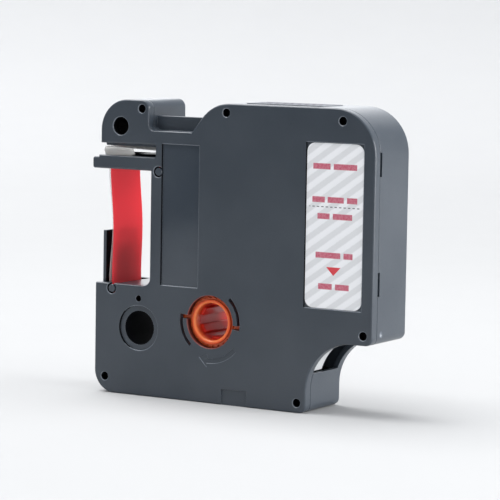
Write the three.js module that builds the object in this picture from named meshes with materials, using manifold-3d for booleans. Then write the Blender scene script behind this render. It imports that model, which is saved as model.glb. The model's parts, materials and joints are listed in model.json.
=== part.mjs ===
// A label tape cassette: a two-part case holding a roll of clear label tape, an ink ribbon
// that runs from a supply spool to a take-up spool, and an open mouth on the left where a
// printer's head presses the ribbon and the tape together.
//
// Millimetres, +Z up. The cassette stands on its long edge. X runs along the face, to the
// right as the front cover is seen. Y runs from the front cover to the rear. The origin is
// the middle of the footprint.

import * as THREE from 'three';
import { mergeVertices } from 'three/addons/utils/BufferGeometryUtils.js';
import Module from 'manifold-3d';

const wasm = await Module();
wasm.setup();

// ---- Driving dimensions ------------------------------------------------------------------

// Depth of the case, and the places across it.
const DEPTH = 16.2;
const FRONT = -DEPTH / 2;
const REAR = DEPTH / 2;
const COVER_PLATE = 1.5;
const COVER_DEPTH = 2.3;
const SEAM = 0.1;
const FLOOR = 1.5;
const WALL = 1.2;
const PARTING = FRONT + COVER_DEPTH + SEAM;
const INSIDE_FRONT = FRONT + COVER_PLATE;
const INSIDE_REAR = REAR - FLOOR;
const FRONT_ROUND = 0.45;
const REAR_ROUND = 0.5;

// Heights and sides of the case outline.
const TOP = 69;
const LEFT = -36.4;
const RIGHT = 37.5;
const FOOT_RIGHT = 20.9;
const LOBE_BOTTOM = 16.6;
const CUTOUT_RADIUS = 11.3;
const HEAD_LEFT = -35.25;
const HEAD_RIGHT = -22;
const HEAD_BOTTOM = 58.7;
const REAR_HEAD_BOTTOM = 58.05;
const ARM_TIP = -37.5;
const ARM_TOP = 55.9;
const ARM_STEP = 0.5;
const ARM_STEP_LEFT = -35.85;
const ARM_BOTTOM = 52.7;
const SLOT_END = -20.1;
const MOUTH_RIGHT = -21.3;
const MOUTH_BOTTOM = 25.9;
const NOTCH_FLOOR = 62.1;
const NOTCH_SLOPE = 1.26;
const CREST = -4.8;
const EXIT_SLIT = 8.8;

// The web: label tape and ink ribbon, both centred across the depth.
const TAPE_WIDTH = 12;
const RIBBON_WIDTH = 12.2;
const WEB_THICKNESS = 0.16;
const TAPE_LINE = -34.1;
const RIBBON_LINE = -33.6;

// Spools, all turning about axes along Y.
const TAPE_ROLL = { x: 14.8, z: 42.3, spindle: 7.6, bore: 7.7, core: 9.2, full: 19.8 };
const SUPPLY = { x: -12.6, z: 45.5, spindle: 1.9, bore: 2, core: 3.6, full: 6.2 };
const TAKEUP = { x: -4.65, z: 18.8, barrel: 5.4, full: 6, flange: 8.3 };
const HUB_HOLE = 6.05;
const HUB_TEETH = 5.9;
const HUB_ROOT = 5.45;
const HUB_TOOTH_COUNT = 24;
const HUB_RING = 5.2;
const HUB_BORE = 4.35;
const HUB_SPLINE = 3.65;
const HUB_SPLINE_COUNT = 6;
const HUB_RECESS = 0.7;
const HUB_JOURNAL = 5.1;
const HUB_REAR_HOLE = 5.2;
const FILM_RADIUS = 20.3;
const FILM_THICKNESS = 0.12;

// Pins and holes.
const PIN_RADIUS = 0.95;
const PIN_SOCKET = 0.97;
const PIN_HOLE = 1.28;
const SOCKET_DEPTH = 1;
const UPPER_PIN = { x: -19.2, z: 52.6 };
const LOWER_PIN = { x: -31.8, z: 24.7 };
const PEG_RADIUS = 0.9;
const PEG_HOLE = 0.97;
const PILLAR = 1.9;
const PEG_SPOTS = [
  { x: -23.9, z: 67 },
  { x: -1.05, z: 66.9 },
  { x: 29.1, z: 66.2 },
  { x: 35.2, z: 18.8 },
  { x: 18.6, z: 2.3 },
  { x: -33.5, z: 3.8 },
];
const HEAD_HOLE = { x: -29.7, z: 62.8, radius: 2.1, tube: 3.1 };
const POST_HOLE = { x: -24.1, z: 15.9, radius: 4, tube: 5, counterbore: 5.25, sink: 0.5 };
const STUD_HOLE = { x: -24.2, z: 22.8, radius: 0.73 };

// Shallow panels in the front face.
const PANEL_SINK = 0.35;
const PANEL = { x0: -18.1, x1: -8.15, z0: 26.45, z1: 59.1 };
const LABEL_BAY = { x0: 20.1, x1: 34.6, z0: 24.2, z1: 61.25 };
const BOTTOM_BAY = { x0: -1.25, x1: 5.3, z0: -1, z1: 3.55 };
const LABEL_MARGIN = 0.06;
const LABEL_CORNER = 2;
const LABEL_THICKNESS = 0.15;
const LABEL_GAP = 0.01;

const TOP_LABEL = { x0: 2, x1: 22, fromSeam: 1, width: 10 };

// Sides of round things: large, middling, small and tiny.
const ROUND = 44;
const MID_ROUND = 32;
const SMALL_ROUND = 20;
const TINY_ROUND = 16;

// How far a cutting tool reaches beyond what it cuts, and how far two joined solids share.
const BEYOND = 1;
const LAP = 0.1;

const { degToRad } = THREE.MathUtils;

// ---- Solids ------------------------------------------------------------------------------

// A closed geometry as a solid that can be joined and cut.
function solid(geometry) {
  const bare = geometry.clone();
  bare.deleteAttribute('normal');
  bare.deleteAttribute('uv');
  const merged = mergeVertices(bare, 1e-5);
  const vertProperties = new Float32Array(merged.attributes.position.array);
  const triVerts = new Uint32Array(merged.index.array);
  return new wasm.Manifold(new wasm.Mesh({ numProp: 3, vertProperties, triVerts }));
}

function geometryOf(manifold) {
  const mesh = manifold.getMesh();
  const geometry = new THREE.BufferGeometry();
  geometry.setAttribute('position', new THREE.BufferAttribute(mesh.vertProperties, 3));
  geometry.setIndex(new THREE.BufferAttribute(mesh.triVerts, 1));
  return geometry;
}

// A round bar along Y.
function rod(x, z, radius, y0, y1, segments = ROUND) {
  const bar = new THREE.CylinderGeometry(radius, radius, y1 - y0, segments);
  return solid(bar.translate(x, (y0 + y1) / 2, z));
}

function tube(x, z, inner, outer, y0, y1, segments = ROUND) {
  const hollow = rod(x, z, inner, y0 - BEYOND, y1 + BEYOND, segments);
  return rod(x, z, outer, y0, y1, segments).subtract(hollow);
}

function block(x0, x1, y0, y1, z0, z1) {
  const box = new THREE.BoxGeometry(x1 - x0, y1 - y0, z1 - z0);
  return solid(box.translate((x0 + x1) / 2, (y0 + y1) / 2, (z0 + z1) / 2));
}

// A shape drawn in X and Z, carried along Y.
function prism(shape, y0, y1, curveSegments = 4) {
  const options = { depth: y1 - y0, bevelEnabled: false, curveSegments };
  const geometry = new THREE.ExtrudeGeometry(shape, options);
  return solid(geometry.rotateX(Math.PI / 2).translate(0, y1, 0));
}

// The same, with both ends rounded off by the given radius.
function roundedPrism(shape, y0, y1, round, curveSegments = 4) {
  const options = {
    depth: y1 - y0 - 2 * round,
    bevelEnabled: true,
    bevelThickness: round,
    bevelSize: round,
    bevelOffset: -round,
    bevelSegments: 2,
    curveSegments,
  };
  const geometry = new THREE.ExtrudeGeometry(shape, options);
  return solid(geometry.rotateX(Math.PI / 2).translate(0, y1 - round, 0));
}

function cut(base, ...tools) {
  return tools.reduce((rest, tool) => rest.subtract(tool), base);
}

function join(first, ...others) {
  return others.reduce((whole, piece) => whole.add(piece), first);
}

// ---- Outlines ----------------------------------------------------------------------------

function intersection(p, u, q, v) {
  const t = q.clone().sub(p).cross(v) / u.cross(v);
  return p.clone().addScaledVector(u, t);
}

// A closed outline from sharp corners [x, z, radius] in anticlockwise order. A positive
// inset moves every side inwards and keeps the fillets concentric.
function filletedShape(corners, inset = 0) {
  const sharp = 0.05;
  const points = corners.map(([x, z]) => new THREE.Vector2(x, z));
  const count = points.length;
  const heading = points.map((p, i) => points[(i + 1) % count].clone().sub(p).normalize());
  const side = points.map((p, i) => {
    const inward = new THREE.Vector2(-heading[i].y, heading[i].x);
    return p.clone().addScaledVector(inward, inset);
  });
  const shape = new THREE.Shape();
  for (let i = 0; i < count; i += 1) {
    const before = (i + count - 1) % count;
    const u = heading[before];
    const v = heading[i];
    const corner = intersection(side[before], u, side[i], v);
    const turn = Math.asin(THREE.MathUtils.clamp(u.cross(v), -1, 1));
    const bend = Math.sign(turn);
    const radius = Math.max(corners[i][2] - bend * inset, 0);
    if (radius < sharp || corners[i][2] === 0) {
      lineOrMove(shape, corner, i === 0);
      continue;
    }
    const angle = Math.acos(THREE.MathUtils.clamp(u.dot(v), -1, 1));
    const start = corner.clone().addScaledVector(u, -radius * Math.tan(angle / 2));
    const toCentre = new THREE.Vector2(-u.y, u.x).multiplyScalar(bend * radius);
    const centre = start.clone().add(toCentre);
    const from = Math.atan2(start.y - centre.y, start.x - centre.x);
    lineOrMove(shape, start, i === 0);
    shape.absarc(centre.x, centre.y, radius, from, from + bend * angle, bend < 0);
  }
  shape.closePath();
  return shape;
}

function lineOrMove(shape, point, first) {
  if (first) shape.moveTo(point.x, point.y);
  else shape.lineTo(point.x, point.y);
}

function roundedRectangle(x0, x1, z0, z1, radius) {
  return filletedShape([[x0, z0, radius], [x1, z0, radius], [x1, z1, radius], [x0, z1, radius]]);
}

// The case seen from the front. The underside of the head block is the only line that
// differs between the cover and the rear case.
function caseCorners(headBottom = HEAD_BOTTOM) {
  return [
    [LEFT, 0, 5.3],
    [FOOT_RIGHT, 0, 1.8],
    [FOOT_RIGHT, LOBE_BOTTOM, CUTOUT_RADIUS],
    [RIGHT, LOBE_BOTTOM, 1.8],
    [RIGHT, TOP, 10.4],
    [CREST, TOP, 9.3],
    [CREST - (TOP - NOTCH_FLOOR) / NOTCH_SLOPE, NOTCH_FLOOR, 0],
    [HEAD_RIGHT, NOTCH_FLOOR, 1.3],
    [HEAD_RIGHT, TOP, 2],
    [HEAD_LEFT, TOP, 7.2],
    [HEAD_LEFT, headBottom, 0],
    [SLOT_END, headBottom, 0.4],
    [SLOT_END, ARM_TOP, 0.4],
    [ARM_STEP_LEFT, ARM_TOP, 0],
    [ARM_STEP_LEFT, ARM_TOP - ARM_STEP, 0],
    [ARM_TIP, ARM_TOP - ARM_STEP, 0.6],
    [ARM_TIP, ARM_BOTTOM, 0.6],
    [MOUTH_RIGHT, ARM_BOTTOM, 0],
    [MOUTH_RIGHT, MOUTH_BOTTOM, 1.7],
    [LEFT, MOUTH_BOTTOM, 0],
  ];
}

function ringSector(x, z, inner, outer, from, to) {
  const shape = new THREE.Shape();
  shape.absarc(x, z, outer, from, to, false);
  shape.absarc(x, z, inner, to, from, true);
  shape.closePath();
  return shape;
}

// Where the tape and the ribbon pass through the walls: into the slot over the arm, into the
// lower part of the case beside the lower pin, and out at the left.
function webPassages() {
  const across = (x0, x1, z0, z1) => block(x0, x1, INSIDE_FRONT, INSIDE_REAR, z0, z1);
  const slotLip = 0.5;
  const headLip = 0.15;
  const pinSide = 1.4;
  const exitBelow = 1.2;
  const exitAbove = 1.8;
  return [
    across(SLOT_END - LAP, SLOT_END + WALL + LAP, ARM_TOP + slotLip, REAR_HEAD_BOTTOM - headLip),
    across(LEFT + WALL, LOWER_PIN.x + pinSide, MOUTH_BOTTOM - WALL - LAP, MOUTH_BOTTOM + BEYOND),
    across(LEFT - BEYOND, LEFT + WALL + LAP, EXIT_SLIT - exitBelow, EXIT_SLIT + exitAbove),
  ];
}

// The arm has no walls of its own along its edges: ribs inside it guide the webs.
function armBay() {
  return block(
    ARM_TIP - BEYOND, MOUTH_RIGHT + WALL, INSIDE_FRONT, INSIDE_REAR,
    ARM_BOTTOM - BEYOND, ARM_TOP + ARM_STEP,
  );
}

// ---- Front cover -------------------------------------------------------------------------

// Two curved slots leave two springy pawls at the edge of the hub hole, half a turn apart.
function pawlSlots() {
  const inner = 7.25;
  const outer = 8.05;
  const gap = 0.95;
  const from = degToRad(173);
  const to = degToRad(228);
  const intoHole = 0.6;
  const slots = [0, Math.PI].map((half) => {
    const a = from + half;
    const arc = prism(
      ringSector(TAKEUP.x, TAKEUP.z, inner, outer, a, to + half),
      FRONT - BEYOND, INSIDE_FRONT + BEYOND, 6,
    );
    const length = outer - HUB_HOLE + intoHole;
    const middle = outer - length / 2;
    const mouth = new THREE.BoxGeometry(length, COVER_PLATE + 2 * BEYOND, gap);
    mouth.rotateY(-a).translate(
      TAKEUP.x + middle * Math.cos(a),
      FRONT + COVER_PLATE / 2,
      TAKEUP.z + middle * Math.sin(a),
    );
    return join(arc, solid(mouth));
  });
  return join(...slots);
}

// The shallow arrow under the hub hole, showing the way the hub winds the ribbon in.
function windArrow() {
  const sink = 0.15;
  const shaft = { inner: 8.45, outer: 9.5 };
  const barb = { inner: 7.5, tip: 8.7, outer: 10.4 };
  const tail = degToRad(-42);
  const neck = degToRad(-94);
  const tip = degToRad(-108);
  const lap = degToRad(1);
  const at = (radius, angle) => new THREE.Vector2(
    TAKEUP.x + radius * Math.cos(angle),
    TAKEUP.z + radius * Math.sin(angle),
  );
  const head = new THREE.Shape([at(barb.outer, neck), at(barb.inner, neck), at(barb.tip, tip)]);
  const curve = ringSector(TAKEUP.x, TAKEUP.z, shaft.inner, shaft.outer, neck - lap, tail);
  return join(
    prism(curve, FRONT - BEYOND, FRONT + sink, 8),
    prism(head, FRONT - BEYOND, FRONT + sink),
  );
}

function facePanels() {
  return [PANEL, LABEL_BAY, BOTTOM_BAY].map(
    (bay) => block(bay.x0, bay.x1, FRONT - BEYOND, FRONT + PANEL_SINK, bay.z0, bay.z1),
  );
}

// The rib that follows the finger cut-out just inside the case wall.
function cutoutRib() {
  const x = FOOT_RIGHT + CUTOUT_RADIUS;
  const z = LOBE_BOTTOM - CUTOUT_RADIUS;
  const gap = 0.15;
  const thickness = 0.9;
  const reach = 8.6;
  const inner = CUTOUT_RADIUS + WALL + gap;
  const sector = ringSector(x, z, inner, inner + thickness, degToRad(102), degToRad(162));
  return prism(sector, INSIDE_FRONT - LAP, FRONT + reach, 8);
}

function frontCover() {
  const corners = caseCorners();
  const outline = filletedShape(corners);
  const face = roundedPrism(outline, FRONT, FRONT + COVER_PLATE, FRONT_ROUND);
  const rim = prism(outline, FRONT + FRONT_ROUND, FRONT + COVER_DEPTH);
  const hollow = prism(filletedShape(corners, WALL), INSIDE_FRONT, FRONT + COVER_DEPTH + BEYOND);
  const bosses = PEG_SPOTS.map(
    ({ x, z }) => rod(x, z, PILLAR, INSIDE_FRONT - LAP, FRONT + COVER_DEPTH, SMALL_ROUND),
  );
  const trim = prism(outline, FRONT - BEYOND, REAR);
  const shell = join(cut(join(face, rim), hollow, armBay()), ...bosses);
  const through = ({ x, z }, radius, segments = SMALL_ROUND) => rod(
    x, z, radius, FRONT - BEYOND, FRONT + COVER_DEPTH + BEYOND, segments,
  );
  const { x, z, counterbore, sink } = POST_HOLE;
  return cut(
    join(shell.intersect(trim), cutoutRib()),
    ...webPassages(),
    ...facePanels(),
    ...PEG_SPOTS.map((spot) => through(spot, PEG_HOLE)),
    through(UPPER_PIN, PIN_HOLE),
    through(LOWER_PIN, PIN_HOLE),
    through(STUD_HOLE, STUD_HOLE.radius, TINY_ROUND),
    through(HEAD_HOLE, HEAD_HOLE.radius, MID_ROUND),
    through(POST_HOLE, POST_HOLE.radius, ROUND),
    rod(x, z, counterbore, FRONT - BEYOND, FRONT + sink),
    through(TAKEUP, HUB_HOLE, ROUND),
    pawlSlots(),
    windArrow(),
  );
}

// ---- Rear case ---------------------------------------------------------------------------

// The thin wall that stands across the notch in the top edge, a little behind the cover. Its
// right-hand end runs inside the sloping wall of the notch.
function notchWall() {
  const y0 = FRONT + 3.7;
  const thickness = 1.5;
  const bottom = NOTCH_FLOOR - WALL / 2;
  const top = 65.4;
  const slopeAt = (z) => CREST - (TOP - z) / NOTCH_SLOPE + WALL / 2;
  const left = HEAD_RIGHT - WALL / 2;
  const outline = new THREE.Shape([
    point(left, bottom), point(slopeAt(bottom), bottom), point(slopeAt(top), top), point(left, top),
  ]);
  return prism(outline, y0, y0 + thickness);
}

// Floor and outer walls.
function rearShell() {
  const corners = caseCorners(REAR_HEAD_BOTTOM);
  const outline = filletedShape(corners);
  const floor = roundedPrism(outline, INSIDE_REAR - REAR_ROUND, REAR, REAR_ROUND);
  const walls = prism(outline, PARTING, REAR - REAR_ROUND);
  const hollow = prism(filletedShape(corners, WALL), PARTING - BEYOND, INSIDE_REAR);
  return join(cut(join(floor, walls), hollow), notchWall());
}

// The opening in the curved wall of the finger cut-out.
function cutoutWindow() {
  const sill = 8.9;
  const edge = 2.4;
  const span = 8.5;
  return block(
    FOOT_RIGHT - 2 * WALL, FOOT_RIGHT + span, PARTING - BEYOND, REAR - edge,
    sill, LOBE_BOTTOM + 2 * LAP,
  );
}

// Two narrow slots in the right-hand wall, at the seam, for prising the case open.
function prySlots() {
  const height = 5.4;
  const width = 0.8;
  return [54.1, 27.5].map((z) => block(
    RIGHT - width, RIGHT + BEYOND, PARTING - BEYOND, PARTING + width, z, z + height,
  ));
}

// The shallow dimple where the rear case was fed with plastic.
function gateMark() {
  const radius = 0.9;
  const sink = 0.35;
  const mark = new THREE.SphereGeometry(radius, 12, 8);
  return solid(mark.translate(RIGHT + radius - sink, FRONT + 4.3, LOBE_BOTTOM + 2.3));
}

// Ribs in the arm: the upper one, with its ramp, keeps the label tape off the arm, the lower
// one carries the ink ribbon, and the block at the tip keeps both from swinging outwards.
function armRibs() {
  const rib = (corners) => prism(filletedShape(corners), PARTING, INSIDE_REAR + LAP);
  const right = SLOT_END + LAP;
  const ramp = { x: -30.9, bottom: ARM_TOP - 1.5, low: ARM_TOP - 0.6 };
  const crown = { x: -26, z: ARM_TOP + 0.5 };
  const ribbonRib = { x: RIBBON_LINE + 0.15, top: ARM_BOTTOM + 0.75 };
  const tipEnd = ARM_TIP + 2.1;
  return join(
    rib([
      [ramp.x, ramp.bottom, 0], [right, ramp.bottom, 0], [right, crown.z, 0],
      [crown.x, crown.z, 1], [ramp.x, ramp.low, 0.3],
    ]),
    rib([
      [ribbonRib.x, ARM_BOTTOM, 0.3], [MOUTH_RIGHT + LAP, ARM_BOTTOM, 0],
      [MOUTH_RIGHT + LAP, ribbonRib.top, 0], [ribbonRib.x, ribbonRib.top, 0.3],
    ]),
    rib([
      [ARM_TIP, ARM_BOTTOM, 0.6], [tipEnd, ARM_BOTTOM, 0],
      [tipEnd, ARM_TOP - ARM_STEP, 0], [ARM_TIP, ARM_TOP - ARM_STEP, 0.6],
    ]),
  );
}

// The upright at the foot of the mouth that keeps the tape beside the ribbon.
function exitGuide() {
  const x = LEFT + 0.55;
  const thickness = 0.85;
  const height = 12.1;
  return block(x, x + thickness, PARTING, REAR, MOUTH_BOTTOM - WALL, MOUTH_BOTTOM + height);
}

// Pillars with a thinner peg on top, which press into the cover.
function assemblyPegs() {
  const pegTop = FRONT + 1.7;
  return PEG_SPOTS.map(({ x, z }) => join(
    rod(x, z, PILLAR, PARTING, INSIDE_REAR + LAP, SMALL_ROUND),
    rod(x, z, PEG_RADIUS, pegTop, PARTING + LAP, SMALL_ROUND),
  ));
}

// The hollow spindles of the two feeding spools, the stud and tubes of the open holes, and a
// low boss round each guide pin.
function spindles() {
  const near = INSIDE_FRONT + 0.3;
  const far = INSIDE_REAR + LAP;
  const supplyWall = 0.8;
  const studGap = 0.1;
  const boss = { radius: PIN_RADIUS + 0.5, height: 0.15 };
  return [
    tube(TAPE_ROLL.x, TAPE_ROLL.z, TAPE_ROLL.spindle - WALL, TAPE_ROLL.spindle, near, far),
    tube(SUPPLY.x, SUPPLY.z, SUPPLY.spindle - supplyWall, SUPPLY.spindle, near, far, SMALL_ROUND),
    rod(STUD_HOLE.x, STUD_HOLE.z, STUD_HOLE.radius - studGap, near, far, TINY_ROUND),
    rod(HEAD_HOLE.x, HEAD_HOLE.z, HEAD_HOLE.tube, PARTING, far, MID_ROUND),
    rod(POST_HOLE.x, POST_HOLE.z, POST_HOLE.tube, INSIDE_FRONT + SEAM, far),
    ...[UPPER_PIN, LOWER_PIN].map(
      ({ x, z }) => rod(x, z, boss.radius, INSIDE_REAR - boss.height, far, SMALL_ROUND),
    ),
  ];
}

function rearCase() {
  const outline = filletedShape(caseCorners(REAR_HEAD_BOTTOM));
  const inside = prism(outline, FRONT, REAR);
  const fittings = join(...assemblyPegs(), ...spindles()).intersect(inside);
  const through = ({ x, z }, radius, y0, segments = SMALL_ROUND) => rod(
    x, z, radius, y0, REAR + BEYOND, segments,
  );
  const openings = [armBay(), ...webPassages(), cutoutWindow(), ...prySlots(), gateMark()];
  const shell = cut(rearShell(), ...openings);
  const pinSocket = ({ x, z }) => rod(
    x, z, PIN_SOCKET, FRONT, INSIDE_REAR + SOCKET_DEPTH, SMALL_ROUND,
  );
  return cut(
    join(shell, armRibs(), exitGuide(), fittings),
    through(HEAD_HOLE, HEAD_HOLE.radius, FRONT, MID_ROUND),
    through(POST_HOLE, POST_HOLE.radius, FRONT, ROUND),
    through(TAKEUP, HUB_REAR_HOLE, INSIDE_REAR - BEYOND, ROUND),
    pinSocket(UPPER_PIN),
    pinSocket(LOWER_PIN),
  );
}

// ---- Pins and labels ---------------------------------------------------------------------

// A pin stands in its socket and ends just below the front face.
function guidePin({ x, z }) {
  const gap = 0.05;
  return rod(x, z, PIN_RADIUS, FRONT + gap, INSIDE_REAR + SOCKET_DEPTH - gap, SMALL_ROUND);
}

function frontLabel() {
  const { x0, x1, z0, z1 } = LABEL_BAY;
  const m = LABEL_MARGIN;
  const sheet = roundedRectangle(x0 + m, x1 - m, z0 + m, z1 - m, LABEL_CORNER);
  const back = FRONT + PANEL_SINK - LABEL_GAP;
  return prism(sheet, back - LABEL_THICKNESS, back);
}

function topLabel() {
  const { x0, x1, fromSeam, width } = TOP_LABEL;
  const y0 = PARTING + fromSeam;
  const z0 = TOP + LABEL_GAP;
  return block(x0, x1, y0, y0 + width, z0, z0 + LABEL_THICKNESS);
}

// ---- Web: label tape and ink ribbon ------------------------------------------------------

// A thin band of the given width that follows a path drawn in X and Z. The points of the
// path are joined by straight runs, and round stretches are arcs of many points.
function band(path, width, thickness = WEB_THICKNESS) {
  const count = path.length;
  const edge = (sign) => path.map((p, i) => {
    const ahead = path[Math.min(i + 1, count - 1)].clone().sub(p);
    const behind = p.clone().sub(path[Math.max(i - 1, 0)]);
    const direction = ahead.normalize().add(behind.normalize()).normalize();
    const normal = new THREE.Vector2(-direction.y, direction.x);
    return p.clone().addScaledVector(normal, (sign * thickness) / 2);
  });
  const shape = new THREE.Shape([...edge(-1), ...edge(1).reverse()]);
  return prism(shape, -width / 2, width / 2);
}

function arc(x, z, radius, fromDegrees, toDegrees, steps) {
  const points = [];
  for (let i = 0; i <= steps; i += 1) {
    const angle = degToRad(fromDegrees + ((toDegrees - fromDegrees) * i) / steps);
    points.push(new THREE.Vector2(x + radius * Math.cos(angle), z + radius * Math.sin(angle)));
  }
  return points;
}

function point(x, z) {
  return new THREE.Vector2(x, z);
}

// A gentle bow inwards on a hanging web, between two heights.
function bow(x0, x1, z0, z1, sag, steps) {
  const { lerp } = THREE.MathUtils;
  const points = [];
  for (let i = 1; i < steps; i += 1) {
    const t = i / steps;
    const wave = Math.sin(Math.PI * t) ** 2;
    points.push(point(lerp(x0, x1, t) + sag * wave, lerp(z0, z1, t)));
  }
  return points;
}

// Off the top of the roll, through the slot over the arm, round a loose loop beyond the tip,
// down the mouth inside the exit guide, and out through the slit in the left-hand wall.
function labelTapeRun() {
  const clear = WEB_THICKNESS / 2 + 0.05;
  const loop = { x: -34.85, z: 57.1, radius: 0.7 };
  const atSlotEnd = ARM_TOP + 1.45;
  const lowerLine = TAPE_LINE + 0.35;
  const sag = 0.95;
  const exitBend = 4.5;
  const path = [
    ...arc(TAPE_ROLL.x, TAPE_ROLL.z, TAPE_ROLL.full + clear, 84, 97, 4),
    point(SLOT_END + WALL / 2, atSlotEnd),
    ...arc(loop.x, loop.z, loop.radius, 90, 205, 7),
    point(TAPE_LINE, ARM_BOTTOM),
    ...bow(TAPE_LINE, lowerLine, ARM_BOTTOM, MOUTH_BOTTOM, sag, 14),
    point(lowerLine, MOUTH_BOTTOM - WALL),
    ...arc(lowerLine - exitBend, EXIT_SLIT + 0.75 * exitBend, exitBend, 0, -60, 6),
  ];
  return band(path, TAPE_WIDTH);
}

// Off the supply roll, over the upper pin, along the arm, down the mouth, round the lower pin
// and onto the top of the take-up roll.
function ribbonRun() {
  const clear = WEB_THICKNESS / 2 + 0.04;
  const onPin = PIN_RADIUS + clear;
  const corner = 0.45;
  const sag = 0.55;
  const armLine = UPPER_PIN.z + onPin;
  const lowerLine = LOWER_PIN.x - onPin;
  const path = [
    ...arc(SUPPLY.x, SUPPLY.z, SUPPLY.full + clear, 20, 78, 8),
    ...arc(UPPER_PIN.x, UPPER_PIN.z, onPin, 72, 90, 3),
    ...arc(RIBBON_LINE + corner, armLine - corner, corner, 90, 180, 5),
    ...bow(RIBBON_LINE, lowerLine, ARM_BOTTOM, MOUTH_BOTTOM, sag, 14),
    ...arc(LOWER_PIN.x, LOWER_PIN.z, onPin, 180, 273, 8),
    ...arc(TAKEUP.x, TAKEUP.z, TAKEUP.full + clear, 93, 60, 5),
  ];
  return band(path, RIBBON_WIDTH);
}

// ---- Spools ------------------------------------------------------------------------------

// What is wound on a spool, a hair clear of what it is wound on.
function woundRoll(spool, core, width) {
  const gap = 0.02;
  return tube(spool.x, spool.z, core + gap, spool.full, -width / 2, width / 2);
}

function labelTapeCore() {
  const half = TAPE_WIDTH / 2;
  return tube(TAPE_ROLL.x, TAPE_ROLL.z, TAPE_ROLL.bore, TAPE_ROLL.core, -half, half);
}

function slipFilm(y0) {
  const inner = TAPE_ROLL.bore + 0.1;
  return tube(TAPE_ROLL.x, TAPE_ROLL.z, inner, FILM_RADIUS, y0, y0 + FILM_THICKNESS);
}

function supplyCore() {
  const half = RIBBON_WIDTH / 2;
  return tube(SUPPLY.x, SUPPLY.z, SUPPLY.bore, SUPPLY.core, -half, half, MID_ROUND);
}

// Saw teeth: each rises slowly and drops steeply, so that the pawls let the hub turn
// clockwise as the cover is seen, and hold it the other way.
function ratchetShape() {
  const shape = new THREE.Shape();
  const steepShare = 0.12;
  const step = (2 * Math.PI) / HUB_TOOTH_COUNT;
  for (let i = 0; i < HUB_TOOTH_COUNT; i += 1) {
    const a = i * step;
    const b = a + steepShare * step;
    const tipX = TAKEUP.x + HUB_TEETH * Math.cos(a);
    const tipZ = TAKEUP.z + HUB_TEETH * Math.sin(a);
    const rootX = TAKEUP.x + HUB_ROOT * Math.cos(b);
    const rootZ = TAKEUP.z + HUB_ROOT * Math.sin(b);
    lineOrMove(shape, point(tipX, tipZ), i === 0);
    shape.lineTo(rootX, rootZ);
  }
  shape.closePath();
  return shape;
}

// Bore with straight splines, which start a little way in from each end.
function splinedBore() {
  const width = 2.2;
  const lead = 2.2;
  const depth = 2;
  const bore = rod(TAKEUP.x, TAKEUP.z, HUB_BORE, FRONT, REAR + BEYOND);
  const ribs = [];
  for (let i = 0; i < HUB_SPLINE_COUNT; i += 1) {
    const a = ((i + 0.5) * 2 * Math.PI) / HUB_SPLINE_COUNT;
    const rib = new THREE.BoxGeometry(depth, DEPTH - HUB_RECESS - 2 * lead, width);
    const middle = HUB_SPLINE + depth / 2;
    rib.rotateY(-a).translate(
      TAKEUP.x + middle * Math.cos(a),
      HUB_RECESS / 2,
      TAKEUP.z + middle * Math.sin(a),
    );
    ribs.push(solid(rib));
  }
  return cut(bore, join(...ribs));
}

function takeupHub() {
  const { x, z, barrel, flange } = TAKEUP;
  const gap = 0.1;
  const front = FRONT + HUB_RECESS;
  const teethFront = front + 0.45;
  const flangeFront = INSIDE_FRONT + 0.05;
  const flangeRear = flangeFront + 0.35;
  const barrelRear = INSIDE_REAR - gap;
  const body = join(
    rod(x, z, HUB_RING, front, flangeRear),
    prism(ratchetShape(), teethFront, flangeFront + LAP),
    rod(x, z, flange, flangeFront, flangeRear),
    rod(x, z, barrel, flangeRear - LAP, barrelRear),
    rod(x, z, HUB_JOURNAL, barrelRear - LAP, REAR - gap),
  );
  return cut(body, splinedBore());
}

// ---- Assembly ----------------------------------------------------------------------------

const CASE_PLASTIC = new THREE.MeshStandardMaterial({ color: 0x474d57, roughness: 0.5 });
const HUB_PLASTIC = new THREE.MeshStandardMaterial({ color: 0xe4572a, roughness: 0.38 });
const CORE_PLASTIC = new THREE.MeshStandardMaterial({ color: 0x2c2f34, roughness: 0.5 });
const INK_FILM = new THREE.MeshStandardMaterial({ color: 0xc23a46, roughness: 0.3 });
const LABEL_TAPE = new THREE.MeshStandardMaterial({ color: 0xeceae2, roughness: 0.35 });
const CLEAR_FILM = new THREE.MeshStandardMaterial({ color: 0xdfe4e8, roughness: 0.2 });
const PAPER_LABEL = new THREE.MeshStandardMaterial({ color: 0xdfe1e6, roughness: 0.45 });

function piece(name, shape, material) {
  const mesh = new THREE.Mesh(geometryOf(shape), material);
  mesh.name = name;
  return mesh;
}

const filmGap = TAPE_WIDTH / 2 + 0.08;

const cassette = new THREE.Group();
cassette.add(
  piece('front_cover', frontCover(), CASE_PLASTIC),
  piece('rear_case', rearCase(), CASE_PLASTIC),
  piece('upper_guide_pin', guidePin(UPPER_PIN), CASE_PLASTIC),
  piece('lower_guide_pin', guidePin(LOWER_PIN), CASE_PLASTIC),
  piece('front_label', frontLabel(), PAPER_LABEL),
  piece('top_label', topLabel(), PAPER_LABEL),
  piece('label_tape_core', labelTapeCore(), CORE_PLASTIC),
  piece('label_tape_roll', woundRoll(TAPE_ROLL, TAPE_ROLL.core, TAPE_WIDTH), LABEL_TAPE),
  piece('label_tape_run', labelTapeRun(), LABEL_TAPE),
  piece('slip_film_front', slipFilm(-filmGap - FILM_THICKNESS), CLEAR_FILM),
  piece('slip_film_rear', slipFilm(filmGap), CLEAR_FILM),
  piece('ribbon_supply_core', supplyCore(), CORE_PLASTIC),
  piece('ribbon_supply_roll', woundRoll(SUPPLY, SUPPLY.core, RIBBON_WIDTH), INK_FILM),
  piece('ribbon_run', ribbonRun(), INK_FILM),
  piece('takeup_hub', takeupHub(), HUB_PLASTIC),
  piece('takeup_roll', woundRoll(TAKEUP, TAKEUP.barrel, RIBBON_WIDTH), INK_FILM),
);

export default cassette;
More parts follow.
